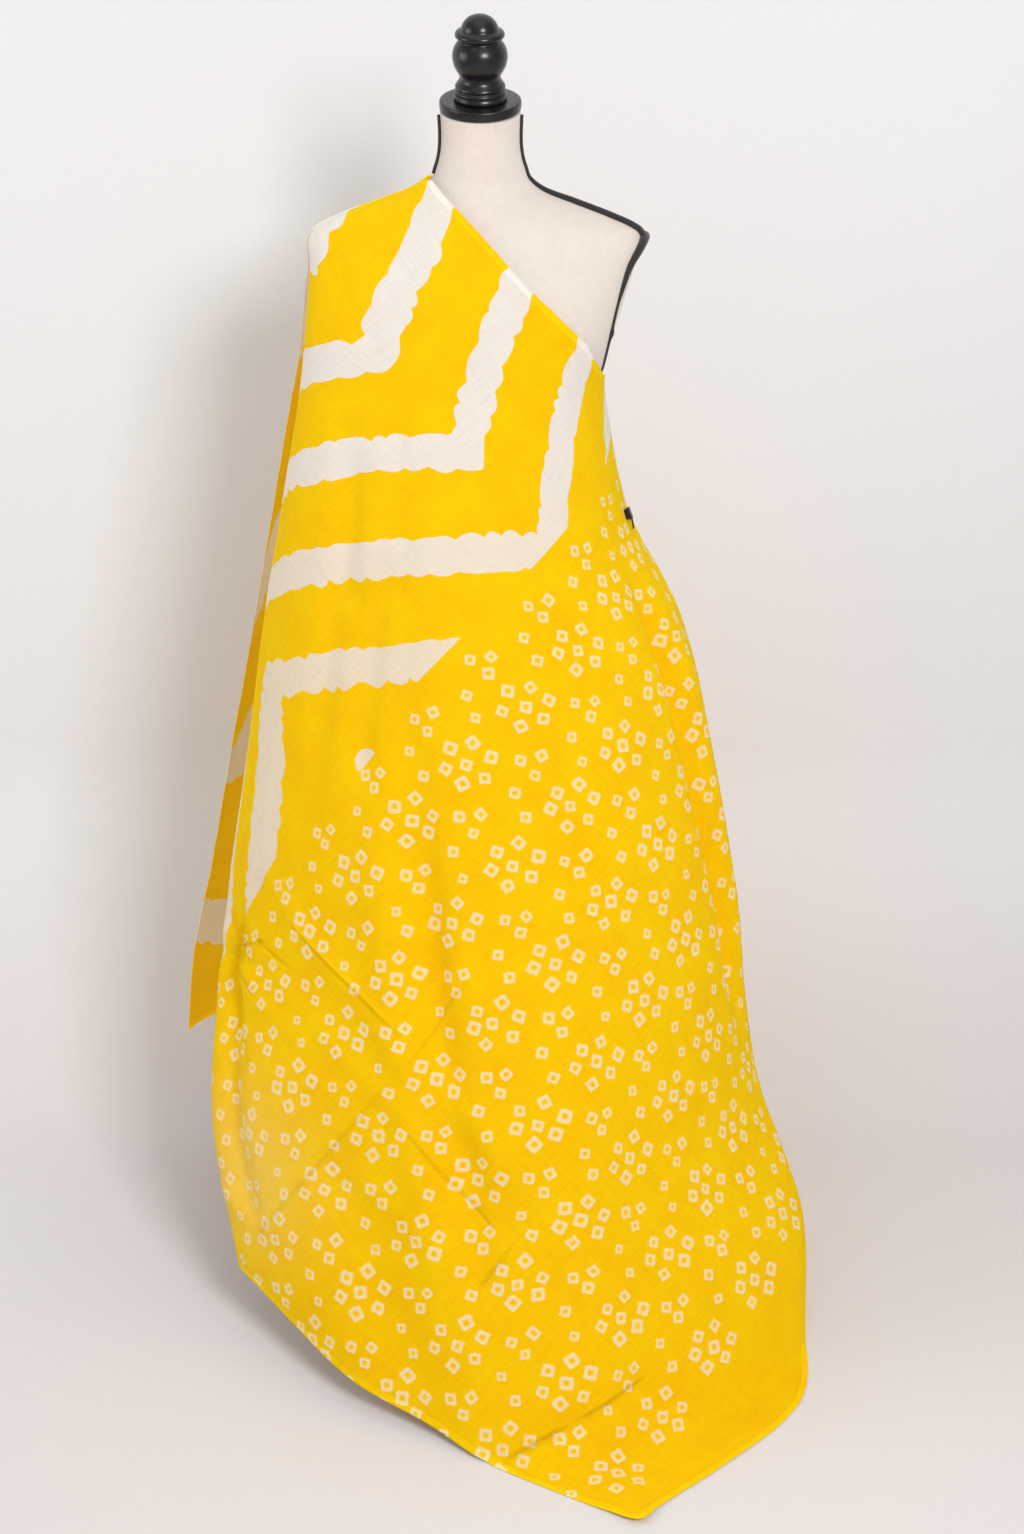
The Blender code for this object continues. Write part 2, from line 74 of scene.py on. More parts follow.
for name, place, aim, size, power, colour in LIGHTS:
    lamp = bpy.data.lights.new(name, "AREA")
    lamp.shape = "SQUARE"
    lamp.size = size
    lamp.energy = power
    lamp.color = colour
    lamp_object = new_object(name, lamp)
    lamp_object.location = place
    lamp_object.rotation_euler = (Vector(aim) - Vector(place)).to_track_quat("-Z", "Y").to_euler()
room = bpy.data.worlds.new("room")
room.use_nodes = True
room.node_tree.nodes["Background"].inputs["Color"].default_value = (1.0, 1.0, 1.0, 1.0)
room.node_tree.nodes["Background"].inputs["Strength"].default_value = ROOM_STRENGTH
bpy.context.scene.world = room

# Floor and backdrop: one pale sweep that lies flat under the cloth and curves up behind it, a
# little warmer where it is floor. From behind it is clear, so that the back of the form shows.
SWEEP_HALF_WIDTH = 4.0
SWEEP_FRONT = -3.5
SWEEP_BACK = 0.50
SWEEP_RADIUS = 0.45
SWEEP_TOP = 4.0
SWEEP_STEPS = 24
FLOOR_COLOUR = (0.705, 0.680, 0.675, 1.0)
WALL_COLOUR = (0.775, 0.775, 0.795, 1.0)
FLOOR_TO_WALL = (0.02, 0.40)       # heights between which the tone changes
PAPER_GRAIN = 0.006
PAPER_GRAIN_DEPTH = 0.0004


def feed(tree, socket, value):
    """Links a socket to the output that is given, or sets it to a value."""
    if isinstance(value, bpy.types.NodeSocket):
        tree.links.new(value, socket)
    else:
        socket.default_value = value


def add_node(tree, kind, inputs, **settings):
    """A shader node with its settings made and the inputs fed that are named or numbered."""
    made = tree.nodes.new(kind)
    for setting, value in settings.items():
        setattr(made, setting, value)
    for socket, value in inputs.items():
        feed(tree, made.inputs[socket], value)
    return made


def calculate(tree, operation, *values, clamped=False):
    """The output of a Math node."""
    made = add_node(
        tree, "ShaderNodeMath", dict(enumerate(values)), operation=operation, use_clamp=clamped
    )
    return made.outputs[0]


def parts_of(tree, vector):
    """The x, y and z of a vector."""
    return add_node(tree, "ShaderNodeSeparateXYZ", {0: vector}).outputs


def object_place(tree):
    """Where a point is on its object."""
    return add_node(tree, "ShaderNodeTexCoord", {}).outputs["Object"]


def smooth_step(tree, value, low, high):
    """0 below a value, 1 above another and smooth between them."""
    inputs = {"Value": value, "From Min": low, "From Max": high}
    return add_node(tree, "ShaderNodeMapRange", inputs, interpolation_type="SMOOTHSTEP").outputs[0]


def mixed(tree, share, first, second, blend="MIX"):
    """The colour that a Mix node gives."""
    inputs = {0: share, 6: first, 7: second}
    made = add_node(tree, "ShaderNodeMix", inputs, data_type="RGBA", blend_type=blend)
    return made.outputs[2]


def noise_at(tree, place, scale, detail=1.0):
    """A Noise texture's node, at a place that is given in metres."""
    return add_node(
        tree, "ShaderNodeTexNoise", {"Vector": place, "Scale": scale, "Detail": detail}
    )


def new_material(name, constants):
    """A material, its node tree and its Principled shader with constants on its own sockets."""
    made = bpy.data.materials.new(name)
    made.use_nodes = True
    shader = made.node_tree.nodes["Principled BSDF"]
    for socket, value in constants.items():
        shader.inputs[socket].default_value = value
    return made, made.node_tree, shader


def give_relief(tree, shader, height, depth):
    """Bumps a finish by a height, as deep as is given."""
    bump = add_node(tree, "ShaderNodeBump", {"Height": height, "Distance": depth})
    feed(tree, shader.inputs["Normal"], bump.outputs[0])


sweep_profile = [(SWEEP_FRONT, 0.0)]
for step in range(SWEEP_STEPS + 1):
    turn = math.pi / 2 * step / SWEEP_STEPS
    sweep_profile.append((
        SWEEP_BACK + SWEEP_RADIUS * (math.sin(turn) - 1.0),
        SWEEP_RADIUS * (1.0 - math.cos(turn)),
    ))
sweep_profile.append((SWEEP_BACK, SWEEP_TOP))
sweep_mesh = bmesh.new()
sweep_sides = [
    [sweep_mesh.verts.new((side, depth, height)) for depth, height in sweep_profile]
    for side in (-SWEEP_HALF_WIDTH, SWEEP_HALF_WIDTH)
]
for index in range(len(sweep_profile) - 1):
    sweep_mesh.faces.new((
        sweep_sides[0][index], sweep_sides[1][index],
        sweep_sides[1][index + 1], sweep_sides[0][index + 1],
    ))
sweep_data = bpy.data.meshes.new("sweep")
sweep_mesh.to_mesh(sweep_data)
sweep_mesh.free()
sweep_data.shade_smooth()
sweep = new_object("sweep", sweep_data)
paper, tree, shader = new_material("backdrop", {"Roughness": 0.95})
place = object_place(tree)
height = parts_of(tree, place)[2]
surface = mixed(tree, smooth_step(tree, height, *FLOOR_TO_WALL), FLOOR_COLOUR, WALL_COLOUR)
feed(tree, shader.inputs["Base Color"], surface)
grain = noise_at(tree, place, 1.0 / PAPER_GRAIN, 3.0).outputs[0]
give_relief(tree, shader, grain, PAPER_GRAIN_DEPTH)
behind = add_node(tree, "ShaderNodeNewGeometry", {}).outputs["Backfacing"]
feed(tree, shader.inputs["Alpha"], calculate(tree, "SUBTRACT", 1.0, behind))
sweep_data.materials.append(paper)

# Stand: a round base and a pole of turned wood in black lacquer. The cloth hides it in front, so
# it is finished plainly: the pole stands in the base and holds up the form.
BASE_PROFILE = (
    # radius, height
    (0.030, 0.000), (0.150, 0.000), (0.166, 0.000), (0.170, 0.003), (0.170, 0.012),
    (0.168, 0.019), (0.160, 0.0235), (0.120, 0.0252), (0.060, 0.0258), (0.034, 0.0260),
    (0.017, 0.0260),
)
POLE_PROFILE = (
    (0.008, 0.0263), (0.0155, 0.0263), (0.0160, 0.0270), (0.0160, 0.0500), (0.0160, 0.3500),
    (0.0160, 0.7200), (0.0160, 0.7490), (0.0155, 0.7497), (0.008, 0.7497),
)
TURNED_SIDES = 32
TURNED_LEVELS = 2
LACQUER_COLOUR = (0.008, 0.0075, 0.0075, 1.0)
LACQUER_SHEEN = 0.31     # roughness
LACQUER_DRIFT = (0.030, 0.16)      # size of its patches, and how far their sheen strays
BRUSHING_SCALE = 260.0
BRUSHING_DEPTH = 0.00006
COAT_SHARE = 0.30


def new_group(name, inputs, outputs):
    """A shader node group's tree, with the sockets that feed it and those that it feeds."""
    tree = bpy.data.node_groups.new(name, "ShaderNodeTree")
    for socket, kind in inputs:
        tree.interface.new_socket(socket, in_out="INPUT", socket_type=f"NodeSocket{kind}")
    for socket, kind in outputs:
        tree.interface.new_socket(socket, in_out="OUTPUT", socket_type=f"NodeSocket{kind}")
    entry, leaving = tree.nodes.new("NodeGroupInput"), tree.nodes.new("NodeGroupOutput")
    return tree, entry.outputs, leaving.inputs


def unevenness_group():
    """A value that drifts about 1 over a surface, by an amount either way."""
    tree, given, result = new_group(
        "unevenness",
        (("Coordinates", "Vector"), ("Size", "Float"), ("Amount", "Float")),
        (("Value", "Float"),),
    )
    scale = calculate(tree, "DIVIDE", 1.0, given["Size"])
    drift = noise_at(tree, given["Coordinates"], scale, 2.0).outputs[0]
    centred = calculate(tree, "MULTIPLY_ADD", drift, 4.0, -2.0)
    feed(tree, result["Value"], calculate(tree, "MULTIPLY_ADD", centred, given["Amount"], 1.0))
    return tree


def use_group(tree, group, inputs):
    """The outputs of a node group placed in a tree."""
    return add_node(tree, "ShaderNodeGroup", inputs, node_tree=group).outputs


def drifting(tree, place, size, amount):
    """A value that drifts about 1 over a finish, in patches of a size."""
    return use_group(tree, unevenness, {"Coordinates": place, "Size": size, "Amount": amount})["Value"]


def apply_place(made):
    """Moves an object's place, turn and scale into its mesh, with its faces outwards."""
    mirrored = made.matrix_world.is_negative
    bpy.context.view_layer.objects.active = made
    made.select_set(True)
    bpy.ops.object.transform_apply(location=True, rotation=True, scale=True)
    made.select_set(False)
    if mirrored:
        made.data.flip_normals()


def smooth_but_edges(made, degrees):
    """Shades an object smooth apart from edges sharper than an angle."""
    bpy.context.view_layer.objects.active = made
    made.select_set(True)
    bpy.ops.object.shade_smooth_by_angle(angle=math.radians(degrees))
    made.select_set(False)


def stand_in(made, name, finish, node):
    """Names a piece of the part, gives it its finish and lets it stand for its node."""
    made.name = name
    made.data.materials.clear()
    made.data.materials.append(finish)
    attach(made, "root")
    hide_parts(node)


def turned(profile):
    """A turned piece: a disc drawn out ring by ring along a profile, then rounded and smooth."""
    radius, height = profile[0]
    bpy.ops.mesh.primitive_circle_add(
        vertices=TURNED_SIDES, radius=radius, fill_type="NGON", location=(0.0, 0.0, height)
    )
    made = bpy.context.object
    bpy.ops.object.transform_apply(location=True, rotation=True, scale=True)
    bpy.ops.object.mode_set(mode="EDIT")
    bpy.ops.mesh.select_all(action="SELECT")
    for wider, higher in profile[1:]:
        bpy.ops.mesh.extrude_region_move(TRANSFORM_OT_translate={"value": (0.0, 0.0, higher - height)})
        share = wider / radius
        bpy.ops.transform.resize(value=(share, share, 1.0), center_override=(0.0, 0.0, higher))
        radius, height = wider, higher
    bpy.ops.mesh.select_all(action="SELECT")
    bpy.ops.mesh.normals_make_consistent(inside=False)
    bpy.ops.object.mode_set(mode="OBJECT")
    rounding = made.modifiers.new("rounding", "SUBSURF")
    rounding.levels = TURNED_LEVELS
    rounding.render_levels = TURNED_LEVELS
    bpy.ops.object.modifier_apply(modifier=rounding.name)
    smooth_but_edges(made, 50)
    return made


unevenness = unevenness_group()
lacquer, tree, shader = new_material("black lacquer", {
    "Base Color": LACQUER_COLOUR, "Coat Roughness": 0.18, "Specular IOR Level": 0.38,
})
place = object_place(tree)
worn = drifting(tree, place, *LACQUER_DRIFT)
feed(tree, shader.inputs["Roughness"], calculate(tree, "MULTIPLY", worn, LACQUER_SHEEN))
brushed = noise_at(tree, place, BRUSHING_SCALE, 3.0).outputs[0]
feed(tree, shader.inputs["Coat Weight"], calculate(tree, "MULTIPLY", brushed, COAT_SHARE))
give_relief(tree, shader, brushed, BRUSHING_DEPTH)
stand_in(turned(BASE_PROFILE), "stand_base", lacquer, "base")
stand_in(turned(POLE_PROFILE), "stand_pole", lacquer, "pole")

# Torso of the dress form: a padded shell under stretched cream linen, closed at a slant below the
# neck. Its sections run from the hips to the neck, and the linen's grain follows the centre front.
TORSO = (
    # height, half width, front depth, back depth
    (0.750, 0.148, 0.094, 0.104),
    (0.768, 0.165, 0.106, 0.117),
    (0.860, 0.172, 0.112, 0.124),
    (0.950, 0.150, 0.102, 0.106),
    (1.020, 0.126, 0.096, 0.088),
    (1.080, 0.131, 0.112, 0.088),
    (1.130, 0.144, 0.128, 0.092),
    (1.200, 0.166, 0.122, 0.094),
    (1.260, 0.184, 0.092, 0.086),
    (1.292, 0.192, 0.070, 0.072),
    (1.304, 0.188, 0.060, 0.064),
    (1.318, 0.156, 0.053, 0.058),
    (1.332, 0.116, 0.048, 0.053),
    (1.346, 0.077, 0.044, 0.050),
    (1.358, 0.060, 0.042, 0.048),
    (1.375, 0.052, 0.042, 0.047),
    (1.4505, 0.047, 0.044, 0.046),
)
TORSO_ROUNDNESS = 2.2
TORSO_COLUMNS = 160
TORSO_LEVELS_BETWEEN = 8
NECK_TOP = 1.4505
NECK_LEAN = math.radians(15)
PLATE_THICKNESS = 0.012
GAP = 0.0003             # between pieces that touch
NECK_RIM = 0.004         # height over which the neck's top is cut to its slant
QUARTER_SAMPLES = 60     # points that measure a quarter of a section
LEFT, RIGHT, BACK, LEFT_AGAIN = 0.0, 2.0, 3.0, 4.0     # bearings round a section; the front is 1
LINEN_COLOUR = (0.775, 0.685, 0.605, 1.0)
LINEN_SHADE = (0.56, 0.48, 0.41, 1.0)
LINEN_PITCH = 0.0011     # one thread and the gap beside it
LINEN_SLUB = (0.0017, 0.016)       # how wide and how long a thick place in a thread is
SLUB_HEIGHT = 0.8        # of a thick place, to a thread's
SLUB_CONTRAST = 2.5
LINEN_DRIFT = (0.05, 0.02)
LINEN_DEPTH = 0.00022    # of its weave
LINEN_TONE = 0.05        # how far its weave lightens and darkens it
FLECK_SCALE = 420.0
FLECK_RANGE = (0.66, 0.80)
FLECK_SHARE = 0.35


def weave_group():
    """Plain weave: threads over and under one another, with thick places along both ways."""
    tree, given, result = new_group(
        "plain weave",
        (("Coordinates", "Vector"), ("Pitch", "Float"), ("Slub Width", "Float"), ("Slub Length", "Float")),
        (("Height", "Float"), ("Shade", "Float")),
    )
    split = parts_of(tree, given["Coordinates"])
    waves, slubs = [], []
    for number in range(2):
        turns = calculate(tree, "DIVIDE", split[number], given["Pitch"])
        waves.append(calculate(tree, "SINE", calculate(tree, "MULTIPLY", turns, math.pi)))
        across = calculate(tree, "DIVIDE", split[number], given["Slub Width"])
        along = calculate(tree, "DIVIDE", split[1 - number], given["Slub Length"])
        stretched = add_node(tree, "ShaderNodeCombineXYZ", {0: across, 1: along, 2: 5.0 * number})
        slubs.append(noise_at(tree, stretched.outputs[0], 1.0, 2.0).outputs[0])
    product = calculate(tree, "MULTIPLY", *waves)
    over = calculate(tree, "MULTIPLY_ADD", product, 2.0, 0.5, clamped=True)
    warp, weft = (calculate(tree, "ABSOLUTE", wave) for wave in waves)
    thread = calculate(tree, "MULTIPLY_ADD", calculate(tree, "SUBTRACT", weft, warp), over, warp)
    thick = calculate(tree, "ADD", *slubs)
    shade = calculate(tree, "MULTIPLY_ADD", thick, SLUB_CONTRAST, -SLUB_CONTRAST)
    feed(tree, result["Height"], calculate(tree, "MULTIPLY_ADD", thick, SLUB_HEIGHT, thread))
    feed(tree, result["Shade"], shade)
    return tree


def woven(tree, place, pitch, slub):
    """The height and shade of plain weave with a thread's pitch and thick places of a size."""
    return use_group(tree, weave, {
        "Coordinates": place, "Pitch": pitch, "Slub Width": slub[0], "Slub Length": slub[1],
    })


def shaded(tree, surface, tone):
    """A colour made lighter or darker by a tone about 1."""
    grey = add_node(tree, "ShaderNodeCombineColor", {0: tone, 1: tone, 2: tone}).outputs[0]
    return mixed(tree, 1.0, surface, grey, "MULTIPLY")


def smooth_through(stations, values, at):
    """Values of a smooth curve through the stations of a table, at one or more places."""
    stations = np.asarray(stations, float)
    values = np.asarray(values, float)
    at = np.clip(np.atleast_1d(at), stations[0], stations[-1])
    slopes = np.gradient(values, stations, axis=0)
    before = np.clip(np.searchsorted(stations, at, side="right") - 1, 0, len(stations) - 2)
    span = stations[before + 1] - stations[before]
    share = ((at - stations[before]) / span)[:, None]
    span = span[:, None]
    start, end = values[before], values[before + 1]
    return (
        (2 * share**3 - 3 * share**2 + 1) * start
        + (share**3 - 2 * share**2 + share) * span * slopes[before]
        + (3 * share**2 - 2 * share**3) * end
        + (share**3 - share**2) * span * slopes[before + 1]
    )


def quarter_points(start, end, roundness, share, along_x_first):
    """Points a share of the way along quarter curves of a section, one for each height."""
    turn = np.linspace(0.0, math.pi / 2, QUARTER_SAMPLES)
    power = (2.0 / roundness)[:, None]
    rising = np.sin(turn)[None, :] ** power
    falling = np.cos(turn)[None, :] ** power
    first, second = (rising, 1 - falling) if along_x_first else (1 - falling, rising)
    x = start[:, :1] + (end[:, :1] - start[:, :1]) * first
    y = start[:, 1:] + (end[:, 1:] - start[:, 1:]) * second
    steps = np.hypot(np.diff(x, axis=1), np.diff(y, axis=1))
    length = np.concatenate([np.zeros((len(x), 1)), np.cumsum(steps, axis=1)], axis=1)
    at = share * length[:, -1:]
    after = np.clip((length < at).sum(axis=1), 1, QUARTER_SAMPLES - 1)
    rows = np.arange(len(x))
    span = np.maximum(length[rows, after] - length[rows, after - 1], 1e-12)
    part = (at[:, 0] - length[rows, after - 1]) / span
    return np.column_stack([
        x[rows, after - 1] + (x[rows, after] - x[rows, after - 1]) * part,
        y[rows, after - 1] + (y[rows, after] - y[rows, after - 1]) * part,
    ])


def section_point(corners, roundness, bearing):
    """Points at one bearing on closed sections whose four outermost points are given."""
    quarter = min(int(bearing), 3)
    return quarter_points(
        corners[quarter], corners[(quarter + 1) % 4], roundness, bearing - quarter, quarter % 2 == 1
    )


def torso_point(heights, bearing):
    """Points on the torso at one bearing, one for each height."""
    heights = np.atleast_1d(heights)
    rows = np.array(TORSO)
    size = smooth_through(rows[:, 0], rows[:, 1:], heights)
    nothing = np.zeros(len(size))
    corners = [
        np.column_stack([-size[:, 0], nothing]),
        np.column_stack([nothing, -size[:, 1]]),
        np.column_stack([size[:, 0], nothing]),
        np.column_stack([nothing, size[:, 2]]),
    ]
    flat = section_point(corners, np.full(len(heights), TORSO_ROUNDNESS), bearing)
    return np.column_stack([flat, heights])


def lengths_along(points, axis):
    """How far each point of a grid is from the start of its row or column, along it."""
    steps = np.linalg.norm(np.diff(points, axis=axis), axis=2)
    start = np.zeros_like(np.take(steps, [0], axis=axis))
    return np.concatenate([start, np.cumsum(steps, axis=axis)], axis=axis)


weave = weave_group()
linen, tree, shader = new_material("cream linen", {
    "Roughness": 0.88, "Sheen Weight": 0.25, "Sheen Roughness": 0.5, "Specular IOR Level": 0.25,
})
place = add_node(tree, "ShaderNodeUVMap", {}, uv_map="weave").outputs[0]
cloth = woven(tree, place, LINEN_PITCH, LINEN_SLUB)
flecks = noise_at(tree, place, FLECK_SCALE, 2.0).outputs[0]
fleck = calculate(tree, "MULTIPLY", smooth_step(tree, flecks, *FLECK_RANGE), FLECK_SHARE)
surface = mixed(tree, fleck, LINEN_COLOUR, LINEN_SHADE)
tone = calculate(tree, "MULTIPLY_ADD", cloth["Shade"], LINEN_TONE, drifting(tree, place, *LINEN_DRIFT))
feed(tree, shader.inputs["Base Color"], shaded(tree, surface, tone))
give_relief(tree, shader, cloth["Height"], LINEN_DEPTH)

torso_levels = np.array(TORSO)[:, 0]
torso_heights = np.concatenate([
    np.linspace(low, high, TORSO_LEVELS_BETWEEN, endpoint=False)
    for low, high in zip(torso_levels, torso_levels[1:])
] + [torso_levels[-1:]])
torso_bearings = (np.linspace(BACK - 4.0, BACK, TORSO_COLUMNS + 1)) % 4.0
torso_grid = np.array([torso_point(torso_heights, bearing) for bearing in torso_bearings])
for column in torso_grid:
    top = NECK_TOP - PLATE_THICKNESS / math.cos(NECK_LEAN) - GAP + column[-1][1] * math.tan(NECK_LEAN)
    over = column[:, 2] > top - NECK_RIM
    column[over, 2] = np.linspace(top - NECK_RIM, top, over.sum())
torso_around = lengths_along(torso_grid, 0)
torso_around -= torso_around[TORSO_COLUMNS // 2]
torso_up = lengths_along(torso_grid, 1)
torso_mesh = bmesh.new()
grain = torso_mesh.loops.layers.uv.new("weave")
torso_verts = [[torso_mesh.verts.new(point) for point in column] for column in torso_grid]
for column in range(TORSO_COLUMNS):
    for row in range(len(torso_heights) - 1):
        corners = ((column, row + 1), (column, row), (column + 1, row), (column + 1, row + 1))
        face = torso_mesh.faces.new([torso_verts[across][up] for across, up in corners])
        for loop, corner in zip(face.loops, corners):
            loop[grain].uv = (torso_around[corner], torso_up[corner])
bmesh.ops.remove_doubles(torso_mesh, verts=list(torso_mesh.verts), dist=1e-6)
closed = bmesh.ops.holes_fill(torso_mesh, edges=[edge for edge in torso_mesh.edges if edge.is_boundary])
for face in closed["faces"]:
    for loop in face.loops:
        loop[grain].uv = loop.vert.co.xy
bmesh.ops.recalc_face_normals(torso_mesh, faces=list(torso_mesh.faces))
torso_data = bpy.data.meshes.new("torso_cover")
torso_mesh.to_mesh(torso_data)
torso_mesh.free()
torso = new_object("torso_cover", torso_data)
smooth_but_edges(torso, 40)
stand_in(torso, "torso_cover", linen, "torso")

# Piping: black cotton cord sewn into the form's seams, along both sides of the neck, out over the
# right shoulder and round the armhole, where it widens into a flat tape at the top.
PIPING_COLOUR = (0.022, 0.021, 0.021, 1.0)
PIPING_SHEEN = 0.82      # roughness
PIPING_DRIFT = (0.006, 0.10)
PIPING_PITCH = 0.0009
PIPING_SLUB = (0.0010, 0.004)
PIPING_DEPTH = 0.00018   # of its weave
TWIST_LENGTH = 0.0032    # of the cord
TWIST_SHARE = 2.0        # how much deeper than the weave the twist is
BANDS_PER_METRE = 3.2    # of a Wave texture with a scale of 1
PIPING_SUNK = 0.45       # share of its radius that lies in the seam
PIPING_TOP = 1.4335
NECK_PIPING = 0.0024     # radii
SHOULDER_PIPING = 0.0041
ARMHOLE_PIPING = 0.0019
ARMHOLE_TAPE = 0.0066
TAPE_REACH = 1.45        # turn either side of the top over which the tape narrows to a cord
TAPE_FULLNESS = 0.8
ARMHOLE_MIDDLE = 1.213
ARMHOLE_RADIUS = 0.080
ARMHOLE_REACH = 0.20     # bearing either side of the right
ARMHOLE_KNOT = 1.92      # turn down the front where the piping's ends are knotted
KNOT_RADIUS = 0.0032
KNOT_REACH = 0.07
NECK_SEAM = 0.08         # bearing of the neck's piping, in front of the side
RIDGE_END = 1.307        # height where the shoulder's piping comes to the tip
RIDGE_CORNER = ((1.303, RIGHT - 0.07), (1.299, RIGHT - 0.055), (1.296, RIGHT - 0.04))
SIDE_END = 1.366
SHOULDER_START = (1.335, 1.365)    # heights between which the piping thins towards the neck
SIDE_STEP = (0.004, 0.04)          # height and bearing to the places that tell how a seam faces


def seam_cord(points, radii, closed):
    """A round cord along a seam, thicker or thinner on its way."""
    curve = bpy.data.curves.new("cord", "CURVE")
    curve.dimensions = "3D"
    curve.bevel_depth = 1.0
    curve.bevel_resolution = 4
    curve.use_fill_caps = not closed
    spline = curve.splines.new("POLY")
    spline.points.add(len(points) - 1)
    for knot, point, radius in zip(spline.points, points, radii):
        knot.co = (*point, 1.0)
        knot.radius = radius
    spline.use_cyclic_u = closed
    made = new_object("cord", curve)
    bpy.context.view_layer.objects.active = made
    made.select_set(True)
    bpy.ops.object.convert(target="MESH")
    made = bpy.context.object
    smooth_but_edges(made, 60)
    return made


def seam_points(stations, radii):
    """Middles of piping that lies on the torso at heights and bearings."""
    points = []
    up, aside = SIDE_STEP
    for (height, bearing), radius in zip(stations, radii):
        low, here, high = torso_point(np.array([height - up, height, height + up]), bearing)
        before, after = (torso_point(height, bearing + step)[0] for step in (-aside, aside))
        outward = np.cross(after - before, high - low)
        lift = radius * (1.0 - PIPING_SUNK)
        points.append(here + outward / np.linalg.norm(outward) * lift)
    return points


cotton, tree, shader = new_material("black piping", {
    "Base Color": PIPING_COLOUR, "Sheen Weight": 0.35, "Specular IOR Level": 0.3,
})
place = object_place(tree)
twist = add_node(tree, "ShaderNodeTexWave", {
    "Vector": place, "Scale": 1.0 / TWIST_LENGTH / BANDS_PER_METRE, "Distortion": 1.5, "Detail": 1.0,
}, bands_direction="DIAGONAL").outputs[1]
cloth = woven(tree, place, PIPING_PITCH, PIPING_SLUB)
raised = calculate(tree, "MULTIPLY_ADD", twist, TWIST_SHARE, cloth["Height"])
give_relief(tree, shader, raised, PIPING_DEPTH)
drift = drifting(tree, place, *PIPING_DRIFT)
feed(tree, shader.inputs["Roughness"], calculate(tree, "MULTIPLY", drift, PIPING_SHEEN))

ridge = [(height, RIGHT - NECK_SEAM) for height in np.linspace(PIPING_TOP, RIDGE_END, 70)]
ridge += RIDGE_CORNER
ridge_heights = [height for height, _ in ridge]
ridge_radii = np.interp(ridge_heights, SHOULDER_START, (SHOULDER_PIPING, NECK_PIPING))
cord = seam_cord(seam_points(ridge, ridge_radii), ridge_radii, closed=False)
stand_in(cord, "piping_shoulder", cotton, "piping_right")
side = [(height, LEFT + NECK_SEAM) for height in np.linspace(PIPING_TOP, SIDE_END, 30)]
side_radii = [NECK_PIPING] * len(side)
cord = seam_cord(seam_points(side, side_radii), side_radii, closed=False)
stand_in(cord, "piping_neck", cotton, "piping_left")
armhole_turns = np.linspace(0.0, math.tau, 120, endpoint=False)
armhole = [
    (ARMHOLE_MIDDLE + ARMHOLE_RADIUS * math.cos(turn), RIGHT - ARMHOLE_REACH * math.sin(turn))
    for turn in armhole_turns
]
from_top = np.abs(np.minimum(armhole_turns, math.tau - armhole_turns))
from_knot = (armhole_turns - ARMHOLE_KNOT) / KNOT_REACH
width = np.clip(1.0 - from_top / TAPE_REACH, 0.0, 1.0) ** TAPE_FULLNESS
armhole_radii = ARMHOLE_PIPING + (ARMHOLE_TAPE - ARMHOLE_PIPING) * width
armhole_radii += (KNOT_RADIUS - ARMHOLE_PIPING) * np.exp(-(from_knot**2))
cord = seam_cord(seam_points(armhole, armhole_radii), armhole_radii, closed=True)
stand_in(cord, "piping_round_armhole", cotton, "piping_armhole")

# Neck plate and finial: turned wood in black lacquer. The plate closes the neck, leaning forward,
# and the finial is screwed on it: a stepped foot, a ball, a ring and a pointed dome.
PLATE_PROFILE = (
    (0.020, -0.0117), (0.044, -0.0117), (0.0470, -0.0117), (0.0485, -0.0105), (0.0485, -0.0060),
    (0.0485, -0.0016), (0.0475, -0.0003), (0.0440, 0.0000), (0.020, 0.0000),
)
FINIAL_PROFILE = (
    # radius, height
    (0.0180, 0.0003), (0.0306, 0.0003), (0.0316, 0.0012), (0.0316, 0.0046), (0.0304, 0.0062),
    (0.0300, 0.0074), (0.0306, 0.0090), (0.0304, 0.0112), (0.0290, 0.0124), (0.0284, 0.0134),
    (0.0296, 0.0148), (0.0297, 0.0162), (0.0284, 0.0184), (0.0262, 0.0210), (0.0243, 0.0240),
    (0.0238, 0.0275), (0.0262, 0.0320), (0.0296, 0.0370), (0.0319, 0.0435), (0.0327, 0.0510),
    (0.0315, 0.0580), (0.0286, 0.0635), (0.0252, 0.0675), (0.0236, 0.0692), (0.0262, 0.0706),
    (0.0288, 0.0728), (0.0293, 0.0755), (0.0278, 0.0785), (0.0240, 0.0800), (0.0218, 0.0808),
    (0.0215, 0.0830), (0.0203, 0.0865), (0.0172, 0.0910), (0.0124, 0.0948), (0.0064, 0.0969),
    (0.0020, 0.0974),
)
neck_seat = Matrix.Translation((0.0, 0.0, NECK_TOP)) @ Matrix.Rotation(NECK_LEAN, 4, "X")
for name, profile, node in (
    ("neck_cap", PLATE_PROFILE, "neck_plate"), ("turned_finial", FINIAL_PROFILE, "finial"),
):
    made = turned(profile)
    made.matrix_world = neck_seat
    apply_place(made)
    stand_in(made, name, lacquer, node)

